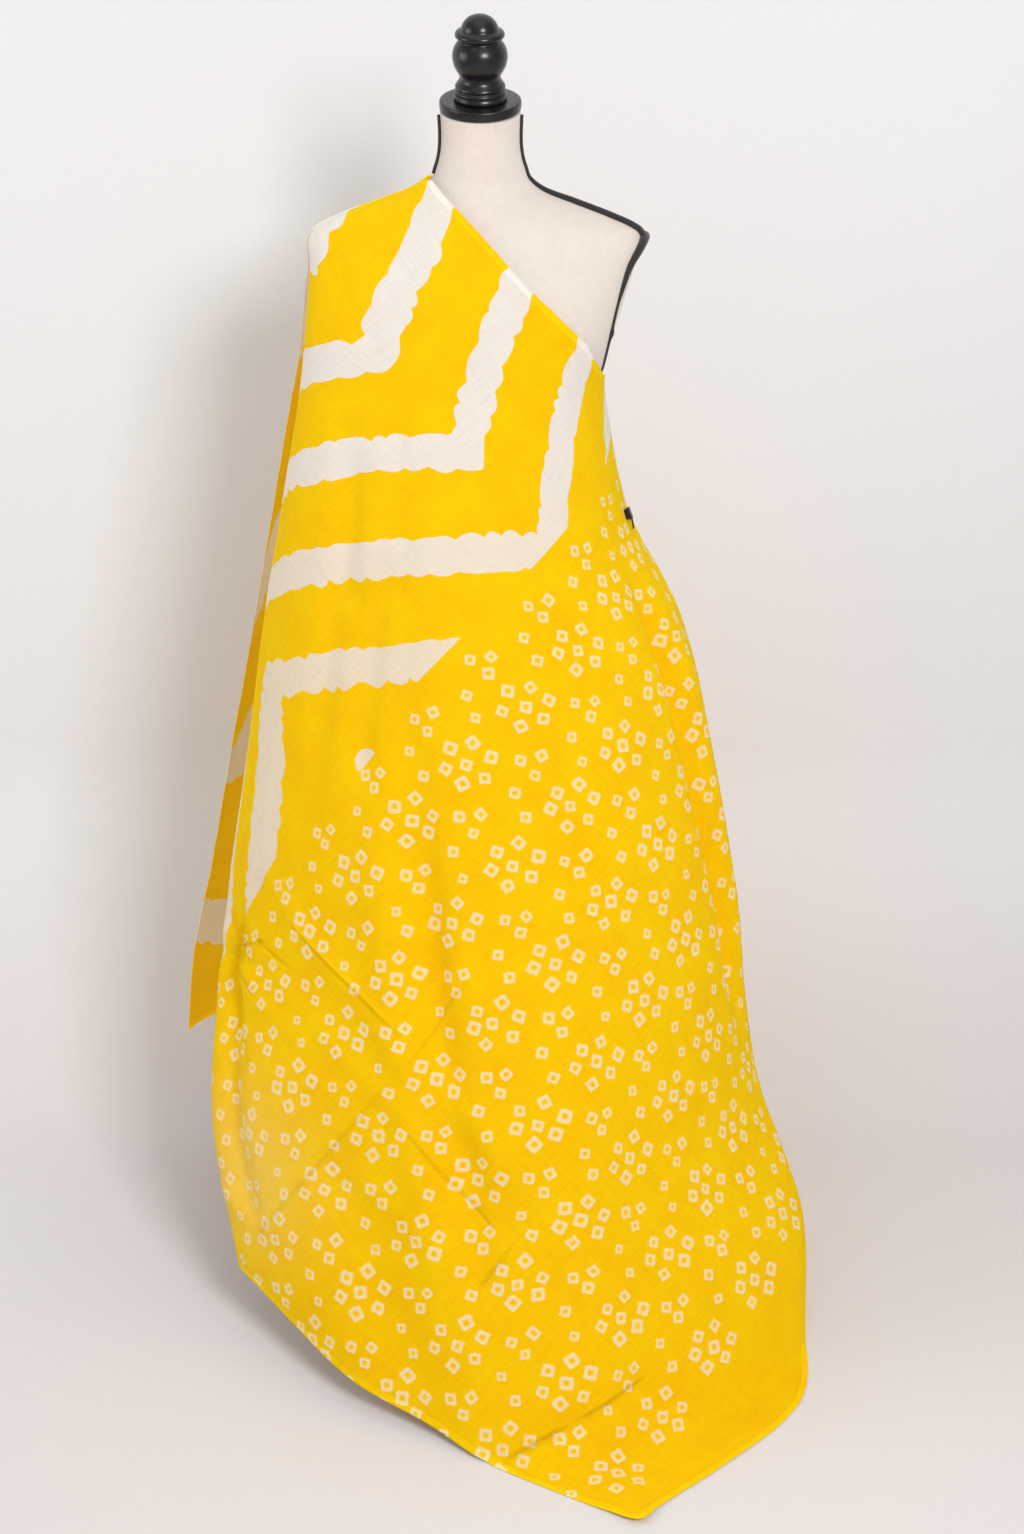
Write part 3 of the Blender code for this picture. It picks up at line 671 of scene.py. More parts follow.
# Sari: one length of fine cotton muslin, dyed yellow round tied dots and zigzag stripes. Its short
# layer hangs behind the shoulder, and the rest fans out over the front down to the floor. Narrow
# hems are turned along its edges.
DRAPE = (
    # height, left x, left y, front x, front y, right x, right y, back y, layer x, layer y, roundness
    (0.000, -0.285, -0.400, 0.050, -0.609, 0.400, -0.360, 0.265, -0.430, 0.030, 1.45),
    (0.100, -0.303, -0.375, 0.045, -0.569, 0.408, -0.290, 0.245, -0.425, 0.030, 1.50),
    (0.250, -0.338, -0.280, 0.040, -0.508, 0.356, -0.180, 0.220, -0.409, 0.030, 1.55),
    (0.345, -0.338, -0.222, 0.035, -0.470, 0.340, -0.145, 0.205, -0.396, 0.030, 1.60),
    (0.450, -0.331, -0.145, 0.030, -0.427, 0.328, -0.110, 0.190, -0.371, 0.030, 1.65),
    (0.650, -0.300, -0.085, 0.020, -0.347, 0.294, -0.065, 0.166, -0.328, 0.030, 1.75),
    (0.850, -0.270, -0.055, 0.010, -0.266, 0.241, -0.030, 0.145, -0.286, 0.020, 1.85),
    (0.960, -0.248, -0.048, 0.000, -0.222, 0.182, -0.010, 0.118, -0.264, 0.020, 1.95),
    (1.060, -0.229, -0.040, 0.000, -0.181, 0.158, 0.000, 0.104, -0.243, 0.020, 2.05),
    (1.130, -0.217, -0.035, 0.000, -0.150, 0.150, 0.000, 0.098, -0.228, 0.015, 2.15),
    (1.200, -0.208, -0.026, 0.000, -0.129, 0.171, 0.000, 0.099, -0.217, 0.010, 2.20),
    (1.262, -0.202, -0.012, 0.000, -0.098, 0.189, 0.000, 0.092, -0.207, 0.006, 2.20),
)
CLOTH_CLEARANCE = 0.0045
SHOULDER = 1.300         # from here up the cloth lies on the torso's own sections
SHOULDER_LIFT = 0.0045
CLOTH_TOP = 1.361        # beside the neck
FLOOR = 0.0009
SELVEDGE = (
    # how far right, height, along the upper edge across the chest
    (-0.056, 1.361),
    (-0.042, 1.346),
    (0.028, 1.276),
    (0.056, 1.248),
    (0.081, 1.226),
    (0.126, 1.181),
    (0.150, 1.127),
)
BACK_SELVEDGE = (
    # bearing, height, along the upper edge round the side and the back
    (2.00, 1.127),
    (2.30, 1.055),
    (2.70, 1.005),
    (3.50, 0.985),
)
HEM = (
    # bearing, x, y, height, along the lower edge from its left corner
    (0.00, -0.300, -0.380, 0.0950),
    (0.20, -0.236, -0.446, 0.0700),
    (0.45, -0.150, -0.531, 0.0400),
    (0.70, -0.054, -0.586, 0.0180),
    (0.90, 0.024, -0.638, FLOOR),
    (1.09, 0.140, -0.706, 0.0030),
    (1.15, 0.177, -0.727, 0.0080),
    (1.21, 0.200, -0.702, 0.0035),
    (1.40, 0.270, -0.640, FLOOR),
    (1.62, 0.358, -0.553, FLOOR),
    (1.80, 0.392, -0.490, FLOOR),
    (2.00, 0.403, -0.375, FLOOR),
    (2.30, 0.385, -0.120, FLOOR),
    (2.65, 0.270, 0.135, FLOOR),
    (3.00, 0.040, 0.262, FLOOR),
    (3.42, -0.200, 0.170, FLOOR),
)
HEM_REACH = 0.22         # the lower edge bends the drape up to this height above it
HEM_BEND = 0.03          # a hem further out than this lies on the floor as a flap
BREAK_SOFTNESS = 0.03    # length over which the cloth turns onto the floor
FOLDS = (
    # name, bearing above, bearing below, top, bottom, depth (a groove below zero), half width
    ("side groove", 1.66, 1.90, 0.950, 0.300, -0.030, 0.048),
    ("side band", 1.80, 1.96, 0.930, 0.360, 0.006, 0.050),
    ("left flute", 0.50, 0.44, 1.080, 0.620, -0.009, 0.050),
    ("second flute", 0.66, 0.60, 1.060, 0.600, -0.008, 0.045),
    ("front fold", 0.76, 0.93, 0.720, 0.080, -0.013, 0.050),
    ("front fold's crown", 0.66, 0.80, 0.720, 0.080, 0.008, 0.060),
    ("left hollow", 0.10, 0.16, 0.560, 0.100, -0.016, 0.060),
    ("corner ridge", 1.20, 1.18, 0.500, 0.000, 0.012, 0.100),
    ("right fold", 2.22, 2.16, 0.950, 0.000, -0.026, 0.060),
    ("back fold one", 2.50, 2.46, 0.930, 0.000, -0.028, 0.060),
    ("back fold two", 2.78, 2.76, 0.930, 0.000, -0.024, 0.060),
    ("back fold three", 3.06, 3.04, 0.930, 0.000, -0.022, 0.055),
)
LAYER_FOLDS = (
    ("outer flute", 3.74, 3.78, 1.150, 0.200, 0.014, 0.055),
    ("middle flute", 3.52, 3.52, 1.150, 0.200, 0.016, 0.055),
    ("inner flute", 3.30, 3.28, 1.150, 0.200, 0.014, 0.050),
)
PINCH_HEIGHT = 0.430     # a small gather in the front layer's left edge
PINCH_HALF_HEIGHT = 0.030
PINCH_HALF_WIDTH = 0.08
PINCH_DEPTH = 0.010
LAYER_INNER_EDGE = 3.12  # bearing of the back layer's inner edge
LAYER_HEM = 0.200
LAYER_OFFSET = 0.013     # the back layer hangs this far outside the cloth under it
LAYER_STANDS_OFF = (1.15, 0.15)    # from this height down, over this much height
SHEET_END = 3.42         # bearing where the sheet ends, under the back layer
SHOULDER_ROWS = 20       # shared by both layers, from the neck to the tip of the shoulder
SHOULDER_LENGTH = 0.142
HANGING_ROWS = 136
SHOULDER_POINTS = 60     # of a column's path, before it is shared out into rows
HANGING_POINTS = 240
SOFTENED_POINTS = 400
BEARING_STEP = 0.02      # to the neighbours that tell which way the cloth faces
END_ROWS = 24
SHORTEST_END = 0.06
COLUMN_RUNS = ((0.90, 60), (1.55, 56), (2.05, 52), (SHEET_END, 44))   # bearing, columns up to it
LAYER_COLUMNS = 44
COARSE = 4               # every fourth row and column goes into the pattern that is laid flat
WALL = 0.0007            # thickness of the muslin, with its fuzz


def drape_table():
    """The drape's own sections, with those of the torso above the shoulder."""
    rows = [list(row) for row in DRAPE]
    for height, half_width, front, back in TORSO:
        if height < SHOULDER:
            continue
        side = half_width + CLOTH_CLEARANCE
        rows.append([
            height + SHOULDER_LIFT, -side, 0.0, 0.0, -front - CLOTH_CLEARANCE, side, 0.0,
            back + CLOTH_CLEARANCE, -side, 0.0, TORSO_ROUNDNESS,
        ])
    return np.array(rows)


def drape_point(heights, bearing, back_layer):
    """Points on the drape at one bearing, before its folds."""
    table = drape_table()
    row = smooth_through(table[:, 0], table[:, 1:], heights)
    left, front, right = row[:, 0:2], row[:, 2:4], row[:, 4:6]
    back = np.column_stack([np.zeros(len(row)), row[:, 6]])
    if back_layer:
        left = row[:, 7:9]
        top, span = LAYER_STANDS_OFF
        back[:, 1] += LAYER_OFFSET * np.clip((top - heights) / span, 0.0, 1.0)
    return section_point([left, front, right, back], row[:, 9], bearing)


def fade(heights, top, bottom, softness=0.16):
    """1 between two heights, running out softly past the top and, above the floor, the bottom."""
    rise = np.clip((top - heights) / softness, 0.0, 1.0)
    fall = np.clip((heights - bottom) / softness, 0.0, 1.0) if bottom > 0.0 else 1.0
    return np.sin(rise * math.pi / 2) ** 2 * np.sin(fall * math.pi / 2) ** 2


def fold_depth(heights, bearing, folds):
    """How far the folds push the cloth out at one bearing."""
    depth = np.zeros(len(heights))
    for _, bearing_above, bearing_below, top, bottom, deep, half_width in folds:
        share = np.clip((top - heights) / (top - bottom), 0.0, 1.0)
        middle = bearing_above + (bearing_below - bearing_above) * share
        reach = np.exp(-(((bearing - middle) / half_width) ** 2))
        depth += deep * reach * fade(heights, top, bottom)
    return depth


def folded_points(heights, bearing, back_layer):
    """Points on the drape at one bearing, with its folds."""
    low = LAYER_INNER_EDGE if back_layer else LEFT
    before = drape_point(heights, max(bearing - BEARING_STEP, low), back_layer)
    after = drape_point(heights, min(bearing + BEARING_STEP, LEFT_AGAIN), back_layer)
    along = after - before
    along /= np.linalg.norm(along, axis=1)[:, None]
    outward = np.column_stack([along[:, 1], -along[:, 0]])
    depth = fold_depth(heights, bearing, LAYER_FOLDS if back_layer else FOLDS)
    flat = drape_point(heights, bearing, back_layer) + outward * depth[:, None]
    if not back_layer:
        near = np.exp(-(((heights - PINCH_HEIGHT) / PINCH_HALF_HEIGHT) ** 2))
        flat += along * (PINCH_DEPTH * near * math.exp(-((bearing / PINCH_HALF_WIDTH) ** 2)))[:, None]
    return np.column_stack([flat, heights])


def top_trimmed(path, bearing):
    """The path from the upper selvedge down."""
    if bearing <= RIGHT:
        edge_x, edge_height = np.array(SELVEDGE).T
        above = path[:, 2] - np.interp(path[:, 0], edge_x, edge_height)
    else:
        edge_bearing, edge_height = np.array(BACK_SELVEDGE).T
        above = path[:, 2] - np.interp(bearing, edge_bearing, edge_height)
    first = int(np.argmax(above <= 1e-9))
    if first == 0:
        return path
    share = above[first - 1] / (above[first - 1] - above[first])
    start = path[first - 1] + (path[first] - path[first - 1]) * share
    return np.vstack([start, path[first:]])


def path_lengths(path):
    """How far each point of a path is from its start, along it."""
    steps = np.linalg.norm(np.diff(path, axis=0), axis=1)
    return np.concatenate([[0.0], np.cumsum(steps)])


def points_at(path, along, at):
    """Points of a path at distances along it."""
    return np.column_stack([np.interp(at, along, path[:, axis]) for axis in range(3)])


def softened(path, length):
    """The path with its corners rounded over a length, its ends kept."""
    along = path_lengths(path)
    even = np.linspace(0.0, along[-1], SOFTENED_POINTS)
    points = points_at(path, along, even)
    half = max(1, int(length / (even[1] - even[0]) / 2))
    smooth = points.copy()
    for index in range(1, len(points) - 1):
        reach = min(half, index, len(points) - 1 - index)
        smooth[index] = points[index - reach:index + reach + 1].mean(axis=0)
    return smooth


def sampled(path, flap):
    """Rows of points down a path: the shoulder's, those down the drape, and those of its end."""
    along = path_lengths(path)
    shoulder = np.linspace(0.0, SHOULDER_LENGTH, SHOULDER_ROWS + 1)
    end = along[-1] - max(flap, SHORTEST_END)
    hanging = np.linspace(SHOULDER_LENGTH, end, HANGING_ROWS + 1)[1:]
    lying = np.linspace(end, along[-1], END_ROWS + 1)[1:]
    return points_at(path, along, np.concatenate([shoulder, hanging, lying]))


def path_heights(lowest):
    """Heights of a column's path, from beside the neck down to its lowest."""
    shoulder = np.linspace(CLOTH_TOP, SHOULDER, SHOULDER_POINTS)
    below = np.linspace(SHOULDER, lowest, HANGING_POINTS)
    return np.concatenate([shoulder, below[1:]])


def front_column(bearing):
    """One column of the front layer, from its upper selvedge to its lower edge."""
    hem = np.array(HEM)
    hem_point = smooth_through(hem[:, 0], hem[:, 1:], bearing)[0]
    hem_point[2] = max(hem_point[2], FLOOR)
    path = folded_points(path_heights(hem_point[2]), bearing, back_layer=False)
    to_hem = hem_point - path[-1]
    distance = np.linalg.norm(to_hem)
    bend = min(1.0, HEM_BEND / max(distance, 1e-6))
    nearness = np.clip(1 - (path[:, 2] - hem_point[2]) / HEM_REACH, 0.0, 1.0) ** 2
    path += (bend * nearness)[:, None] * to_hem
    flap = distance * (1.0 - bend)
    if flap > 0.0:
        path = np.vstack([path, hem_point])
    return sampled(softened(top_trimmed(path, bearing), BREAK_SOFTNESS), flap)


def layer_column(bearing):
    """One column of the back layer, from the neck and the shoulder down to its hem."""
    path = folded_points(path_heights(LAYER_HEM), bearing, back_layer=True)
    return sampled(softened(path, BREAK_SOFTNESS), 0.0)


def spread_bearings():
    """Bearings of the front layer's columns, from the left edge to the sheet's end."""
    bearings = [LEFT]
    for end, count in COLUMN_RUNS:
        bearings += list(np.linspace(bearings[-1], end, count + 1)[1:])
    return np.array(bearings)


def joined_sheet(front, layer, shoulder_rows):
    """Points and faces of both layers as one sheet, with each layer's grid of point numbers."""
    front_numbers = np.arange(front.shape[0] * front.shape[1]).reshape(front.shape[:2])
    own = np.ones(layer.shape[:2], bool)
    own[-1, :shoulder_rows + 1] = False
    layer_numbers = np.empty(own.shape, int)
    layer_numbers[own] = front_numbers.size + np.arange(own.sum())
    layer_numbers[~own] = front_numbers[0, :shoulder_rows + 1]
    points = np.concatenate([front.reshape(-1, 3), layer[own]])
    faces = np.concatenate([
        np.stack([grid[:-1, :-1], grid[:-1, 1:], grid[1:, 1:], grid[1:, :-1]], axis=2).reshape(-1, 4)
        for grid in (front_numbers, layer_numbers)
    ])
    return points, faces, front_numbers, layer_numbers


def faces_area(points, faces):
    """Area of all the faces of a flat or curved sheet."""
    first, second, third, fourth = (points[faces[:, corner]] for corner in range(4))
    if points.shape[1] == 2:
        sides = (third - first, fourth - second)
        return 0.5 * np.abs(sides[0][:, 0] * sides[1][:, 1] - sides[0][:, 1] * sides[1][:, 0]).sum()
    return 0.5 * np.linalg.norm(np.cross(third - first, fourth - second), axis=1).sum()


def laid_flat(points, faces):
    """Places of a curved sheet's points when it is laid flat at its own size."""
    data = bpy.data.meshes.new("pattern")
    data.from_pydata(points.tolist(), [], faces.tolist())
    pattern = new_object("pattern", data)
    bpy.context.view_layer.objects.active = pattern
    pattern.select_set(True)
    bpy.ops.object.mode_set(mode="EDIT")
    bpy.ops.mesh.select_all(action="SELECT")
    bpy.ops.uv.unwrap(method="MINIMUM_STRETCH", margin=0.0)
    bpy.ops.object.mode_set(mode="OBJECT")
    corners = np.empty(len(data.loops) * 2, np.float32)
    data.uv_layers.active.data.foreach_get("uv", corners)
    flat = np.zeros((len(points), 2))
    flat[faces.ravel()] = corners.reshape(-1, 2)
    bpy.data.objects.remove(pattern)
    bpy.data.meshes.remove(data)
    return flat * math.sqrt(faces_area(points, faces) / faces_area(flat, faces))


def filled_in(coarse_flat, grid, bearings):
    """Flat places of a fine grid's points, from those of every fourth row and column."""
    down = lengths_along(grid, 1)
    columns = [
        smooth_through(down[COARSE * number, ::COARSE], flat_column, down[COARSE * number])
        for number, flat_column in enumerate(coarse_flat)
    ]
    wide = np.array(columns).reshape(len(columns), -1)
    return smooth_through(bearings[::COARSE], wide, bearings).reshape(*grid.shape[:2], 2)


front_bearings = spread_bearings()
layer_bearings = np.linspace(LAYER_INNER_EDGE, LEFT_AGAIN, LAYER_COLUMNS + 1)
front_grid = np.array([front_column(bearing) for bearing in front_bearings])
layer_grid = np.array([layer_column(bearing) for bearing in layer_bearings])
pattern_points, pattern_faces, front_numbers, layer_numbers = joined_sheet(
    front_grid[::COARSE, ::COARSE], layer_grid[::COARSE, ::COARSE], SHOULDER_ROWS // COARSE
)
pattern_flat = laid_flat(pattern_points, pattern_faces)
front_flat = filled_in(pattern_flat[front_numbers], front_grid, front_bearings)
layer_flat = filled_in(pattern_flat[layer_numbers], layer_grid, layer_bearings)

# The sari's print runs at a slant to its upper selvedge. Its directions are set out from two
# places on that edge: the lengthwise one goes down to the right, the crosswise one down to the left.
PRINT_START_X = -0.044   # on the upper selvedge, beside the neck
PRINT_TOWARDS_X = 0.139  # on the same edge, at the side of the chest
PRINT_SLANT = math.radians(14.36)
CHEST_END = RIGHT - 0.1  # bearing where the upper edge leaves the chest
SHOULDER_SLACK = 0.070   # cloth taken up lengthwise in small creases on the shoulder
SLACK_RANGE = (-0.14, 0.00)        # lengthwise places between which it runs out
NECK_PULL = 0.026        # and drawn up beside the neck
PULL_RANGE = (0.00, 0.12)
PULL_HALF_WIDTH = 0.06
SHOULDER_TUCK = 0.045    # and crosswise, along the fold at the shoulder's tip
TUCK_RANGE = (0.00, 0.22)          # crosswise places between which it grows
TUCK_PLACE = 0.03        # lengthwise
TUCK_HALF_LENGTH = 0.13


def edge_place(x):
    """The flat place of the upper selvedge's point that is so far right."""
    chest = front_bearings <= CHEST_END
    return np.array([
        np.interp(x, front_grid[chest, 0, 0], front_flat[chest, 0, axis]) for axis in range(2)
    ])


def risen(values, low, high):
    """0 below a value, 1 above another and smooth between them."""
    share = np.clip((values - low) / (high - low), 0.0, 1.0)
    return share * share * (3.0 - 2.0 * share)


def print_places(flat):
    """Flat places as lengthwise and crosswise distances in the print, in metres."""
    moved = flat - print_start
    along = moved @ print_along
    down = moved @ print_down
    cosine, sine = math.cos(PRINT_SLANT), math.sin(PRINT_SLANT)
    lengthwise = cosine * along + sine * down
    crosswise = cosine * down - sine * along
    near_neck = np.exp(-((crosswise / PULL_HALF_WIDTH) ** 2))
    near_tip = np.exp(-(((lengthwise - TUCK_PLACE) / TUCK_HALF_LENGTH) ** 2))
    slack = SHOULDER_SLACK * (1.0 - risen(lengthwise, *SLACK_RANGE))
    slack += NECK_PULL * (1.0 - risen(lengthwise, *PULL_RANGE)) * near_neck
    tuck = SHOULDER_TUCK * near_tip * risen(crosswise, *TUCK_RANGE)
    return np.stack([lengthwise + slack, crosswise - tuck], axis=-1)


print_start = edge_place(PRINT_START_X)
print_along = edge_place(PRINT_TOWARDS_X) - print_start
print_along /= np.linalg.norm(print_along)
print_down = np.array([-print_along[1], print_along[0]])
if (front_flat[:, -1] - print_start).mean(axis=0) @ print_down < 0.0:
    print_down = -print_down
front_print = print_places(front_flat)
layer_print = print_places(layer_flat)

# Creases and unevenness of the muslin: the lines where it lay folded on a shelf, the break where
# it meets the floor, gathers round the pinch and the low swells of a thin cloth.
SOFT_CREASES = (
    # name, lengthwise and crosswise start, lengthwise and crosswise end, height, half width
    ("lengthwise fold", 0.500, 0.715, 0.910, 0.700, 0.0045, 0.018),
    ("crosswise fold", 0.730, 0.590, 0.768, 1.070, 0.0050, 0.018),
    ("hollow under the folds", 0.790, 0.735, 0.950, 0.760, -0.0050, 0.030),
    ("hollow at the left", 0.780, 0.870, 1.000, 0.960, -0.0060, 0.032),
    ("floor break, left", 1.1405, 0.9565, 1.1756, 0.868, -0.0060, 0.016),
    ("floor break, right", 1.1756, 0.868, 1.211, 0.7625, -0.0055, 0.016),
    ("left flute, upper half", 0.179, 0.229, 0.318, 0.363, -0.0050, 0.020),
    ("left flute, lower half", 0.318, 0.363, 0.444, 0.503, -0.0050, 0.020),
    ("second flute, upper half", 0.222, 0.186, 0.362, 0.315, -0.0045, 0.020),
    ("second flute, lower half", 0.362, 0.315, 0.490, 0.462, -0.0045, 0.020),
    ("front fold, upper half", 0.496, 0.440, 0.669, 0.611, -0.0060, 0.024),
    ("front fold, lower half", 0.669, 0.611, 0.764, 0.679, -0.0060, 0.024),
    ("gather at the pinch, upper", 0.452, 0.836, 0.440, 0.740, -0.0055, 0.013),
    ("gather at the pinch, lower", 0.468, 0.852, 0.530, 0.885, -0.0045, 0.012),
    ("ray from the pinch, second", 0.490, 0.850, 0.640, 0.800, 0.0028, 0.012),
    ("ray from the pinch, third", 0.500, 0.880, 0.600, 0.900, -0.0026, 0.012),
    ("corner line", 0.681, 1.047, 0.754, 1.027, 0.0030, 0.011),
    ("second lengthwise fold", 0.560, 0.790, 0.812, 0.752, 0.0026, 0.012),
    ("lines at the left", 0.784, 0.861, 0.952, 0.823, 0.0022, 0.011),
    ("shoulder crease", 0.000, 0.114, 0.116, 0.126, -0.0026, 0.008),
)
SHARP_CREASES = (
    # name, lengthwise and crosswise start, lengthwise and crosswise end, height, half width
    ("lengthwise fold", 0.500, 0.722, 0.735, 0.687, 0.0026, 0.0055),
    ("second lengthwise fold", 0.790, 0.768, 0.965, 0.773, -0.0030, 0.0060),
    ("crosswise fold, upper half", 0.722, 0.560, 0.745, 0.720, 0.0020, 0.0045),
    ("crosswise fold, lower half", 0.745, 0.720, 0.767, 1.080, -0.0026, 0.0050),
    ("short crosswise fold", 0.980, 0.760, 0.990, 0.840, -0.0030, 0.0050),
    ("ray from the pinch", 0.480, 0.790, 0.560, 0.762, -0.0024, 0.0055),
    ("gather at the pinch, inner", 0.460, 0.835, 0.505, 0.770, -0.0045, 0.0070),
    ("gather at the pinch, middle", 0.460, 0.845, 0.545, 0.835, -0.0040, 0.0070),
    ("floor break, left", 1.1405, 0.9565, 1.1756, 0.868, -0.0045, 0.0060),
    ("floor break, right", 1.1756, 0.868, 1.211, 0.7625, -0.0045, 0.0060),
)
SWELLS = (
    # size, height
    (0.130, 0.0016),
    (0.045, 0.0006),
)
CREASE_SHARPNESS = 1.6   # power of a sharp crease's sides
CREASE_RUN_OUT = (-0.05, 0.25)     # shares of its length over which it runs out at an end
GATHER_PLACE = (0.462, 0.836)      # small folds all round the pinch
GATHER_REACH = 0.060
GATHER_COUNT = 7
GATHER_HEIGHT = 0.0040
PAINTED_THROUGH_PLACE = (0.690, 0.985)        # where light coming through the front layer's left is painted into its colour as a paler patch
PAINTED_THROUGH_REACH = 0.090
PAINTED_THROUGH_SHARE = 0.35
PAINTED_GLOW_BEARINGS = (3.30, 3.75)      # and the outer half of the back layer, where light through it is painted on as a glow


def distance_to_line(places, start, end):
    """Distance of flat places from a straight line between two of them."""
    start, end = np.array(start), np.array(end)
    along = end - start
    share = np.clip(((places - start) @ along) / max(along @ along, 1e-12), 0.0, 1.0)
    return np.linalg.norm(places - start - share[..., None] * along, axis=-1)


def relief(places):
    """How far the creases, gathers and swells lift the cloth at places in the print."""
    height = np.zeros(places.shape[:2])
    for _, start_u, start_v, end_u, end_v, high, half_width in SOFT_CREASES:
        away = distance_to_line(places, (start_u, start_v), (end_u, end_v))
        height += high * np.exp(-((away / half_width) ** 2))
    spoke = places - np.array(GATHER_PLACE)
    reach = np.exp(-((np.linalg.norm(spoke, axis=-1) / GATHER_REACH) ** 2))
    height += GATHER_HEIGHT * reach * np.cos(GATHER_COUNT * np.arctan2(spoke[..., 1], spoke[..., 0]))
    for size, high in SWELLS:
        height += high * np.array([
            [noise.noise(Vector((u / size, v / size, size))) for u, v in column] for column in places
        ])
    return height


def lifted(grid, places):
    """The grid with its relief, along the cloth's own outward direction."""
    outward = np.cross(np.gradient(grid, axis=1), np.gradient(grid, axis=0))
    outward /= np.maximum(np.linalg.norm(outward, axis=2), 1e-12)[..., None]
    raised = grid + outward * relief(places)[..., None]
    raised[..., 2] = np.maximum(raised[..., 2], FLOOR)
    return raised


edge_runs = (front_flat[:, 0], front_flat[:, -1], layer_flat[:, 0], layer_flat[:, -1], layer_flat[0])
sari_points, sari_faces, front_numbers, layer_numbers = joined_sheet(
    lifted(front_grid, front_print), lifted(layer_grid, layer_print), SHOULDER_ROWS
)
sari_flat = np.empty((len(sari_points), 2))
sari_flat[layer_numbers] = layer_flat
sari_flat[front_numbers] = front_flat
sari_print = print_places(sari_flat)
hem_distance = np.full(len(sari_points), 1.0)
for run in edge_runs:
    for start, end in zip(run, run[1:]):
        hem_distance = np.minimum(hem_distance, distance_to_line(sari_flat, start, end))

# Painted light through the cloth: a soft paler patch on the front layer's left.
painted_through_distance = np.linalg.norm(sari_print - np.array(PAINTED_THROUGH_PLACE), axis=-1)
painted_through = PAINTED_THROUGH_SHARE * np.exp(-((painted_through_distance / PAINTED_THROUGH_REACH) ** 2))
# Painted glow: how much the back layer glows, standing for light that comes through it.
painted_glow = np.zeros(len(sari_points))
painted_glow[layer_numbers] = risen(layer_bearings, *PAINTED_GLOW_BEARINGS)[:, None]

sari_data = bpy.data.meshes.new("sari_cloth")
sari_data.from_pydata(sari_points.tolist(), [], sari_faces.tolist())
sari_data.uv_layers.new(name="print")
sari_data.uv_layers["print"].data.foreach_set("uv", sari_print[sari_faces.ravel()].ravel())
for name, values in (("hem", hem_distance), ("painted_glow", painted_glow), ("painted_through", painted_through)):
    sari_data.attributes.new(name, "FLOAT", "POINT")
    sari_data.attributes[name].data.foreach_set("value", values)
sari_data.shade_smooth()
sari = new_object("sari_cloth", sari_data)
bpy.context.view_layer.objects.active = sari
sari.select_set(True)
wall = sari.modifiers.new("wall", "SOLIDIFY")
wall.thickness = WALL
wall.offset = 1.0
bpy.ops.object.modifier_apply(modifier=wall.name)
sari.select_set(False)

# The sari's dye: yellow all over, kept off zigzag stripes by folding and binding, and off small
# rings by tying. The sizes are those of its flat cloth, in metres, in the print's directions.
YELLOW = (0.99, 0.560, 0.001, 1.0)
DEEP_YELLOW = (0.97, 0.500, 0.001, 1.0)
IVORY = (0.80, 0.72, 0.645, 1.0)
# Painted shade: the warmer, darker colour of the undyed stripes low on the cloth.
PAINTED_PEACH_SHADE = (0.80, 0.655, 0.48, 1.0)
PEACH_TO_IVORY = (0.75, 1.15)      # heights between which the undyed stripes go from a painted warm shade, lower down, to ivory
RING_COLOUR = (0.95, 0.67, 0.34, 1.0)
# Painted light: the paler colour where light comes through the front layer's left.
PAINTED_THROUGH_COLOUR = (0.85, 0.62, 0.22, 1.0)
# Painted glow on the back layer's outer half, standing for light through the cloth:
GLOW_COLOUR = (0.55, 0.75, 0.05, 1.0)
GLOW_STRENGTH = 0.34     # of the painted glow that stands for light through the back layer
GLOW_SHARE = 0.20
DYE_DRIFT = (0.060, 0.5)
DYE_EVEN = 0.6           # drift from which the dye deepens
STRIPE_START = 0.1323    # lengthwise place of a stripe's foot
STRIPE_PITCH = 0.1563
STRIPE_HALF_WIDTH = 0.0285
WIDE_LEGS = (0.52, 0.60)   # crosswise places between which the stripes grow wider
WIDER = 0.015
STRIPE_SLOPE = 0.791     # lengthwise run for each metre crosswise
ZIGZAG_FOOT = 0.1365     # crosswise place of a foot
ZIGZAG_HALF_PERIOD = 0.403
STRIPES_END = 0.440
LAST_STRIPE = 3.5        # counted from the foot's stripe; past it the cloth has only a spot
SPARSE_FROM = -3.5       # past it, on the back layer, every second stripe is left out
SPOT_PLACE = (0.458, 0.497)
SPOT_RADIUS = 0.0165
SCALLOP_LENGTH = 0.025   # crosswise length of one scallop where the dye crept under the binding
SCALLOP_STRAY = 2.6      # how far scallops stray from even, in scallops
SCALLOP_DEPTH = 0.0095
SCALLOP_LEAST = 0.3      # share of that depth which the shallowest has
SCALLOP_RANGE = (0.35, 0.65)       # noise between the shallowest and the deepest
SCALLOP_SCALE = 17.0     # of that noise
SCALLOP_MIDDLE = 0.64    # height of a scallop's arc that lies on the stripe's edge
EDGE_NUMBER = 0.25       # tells a stripe's two edges apart
EDGE_SPREAD = 3.7        # and sets them apart in the noise
EDGE_BLUR = 0.0006       # half the width over which the dye fades at an edge
WAVER_SIZE = 0.045
WAVER_HEIGHT = 0.0065
DOTS_START = (0.545, 0.205)        # the first cluster's middle
DOT_COLUMN = (0.118, 0.047)        # from one cluster to the next, lengthwise and crosswise
DOT_ROW = 0.100
DOT_COLUMNS = 7
UPRIGHT, POINTED, SLANTED = 52.0, 7.0, 67.0    # degrees that a ring is turned in the print
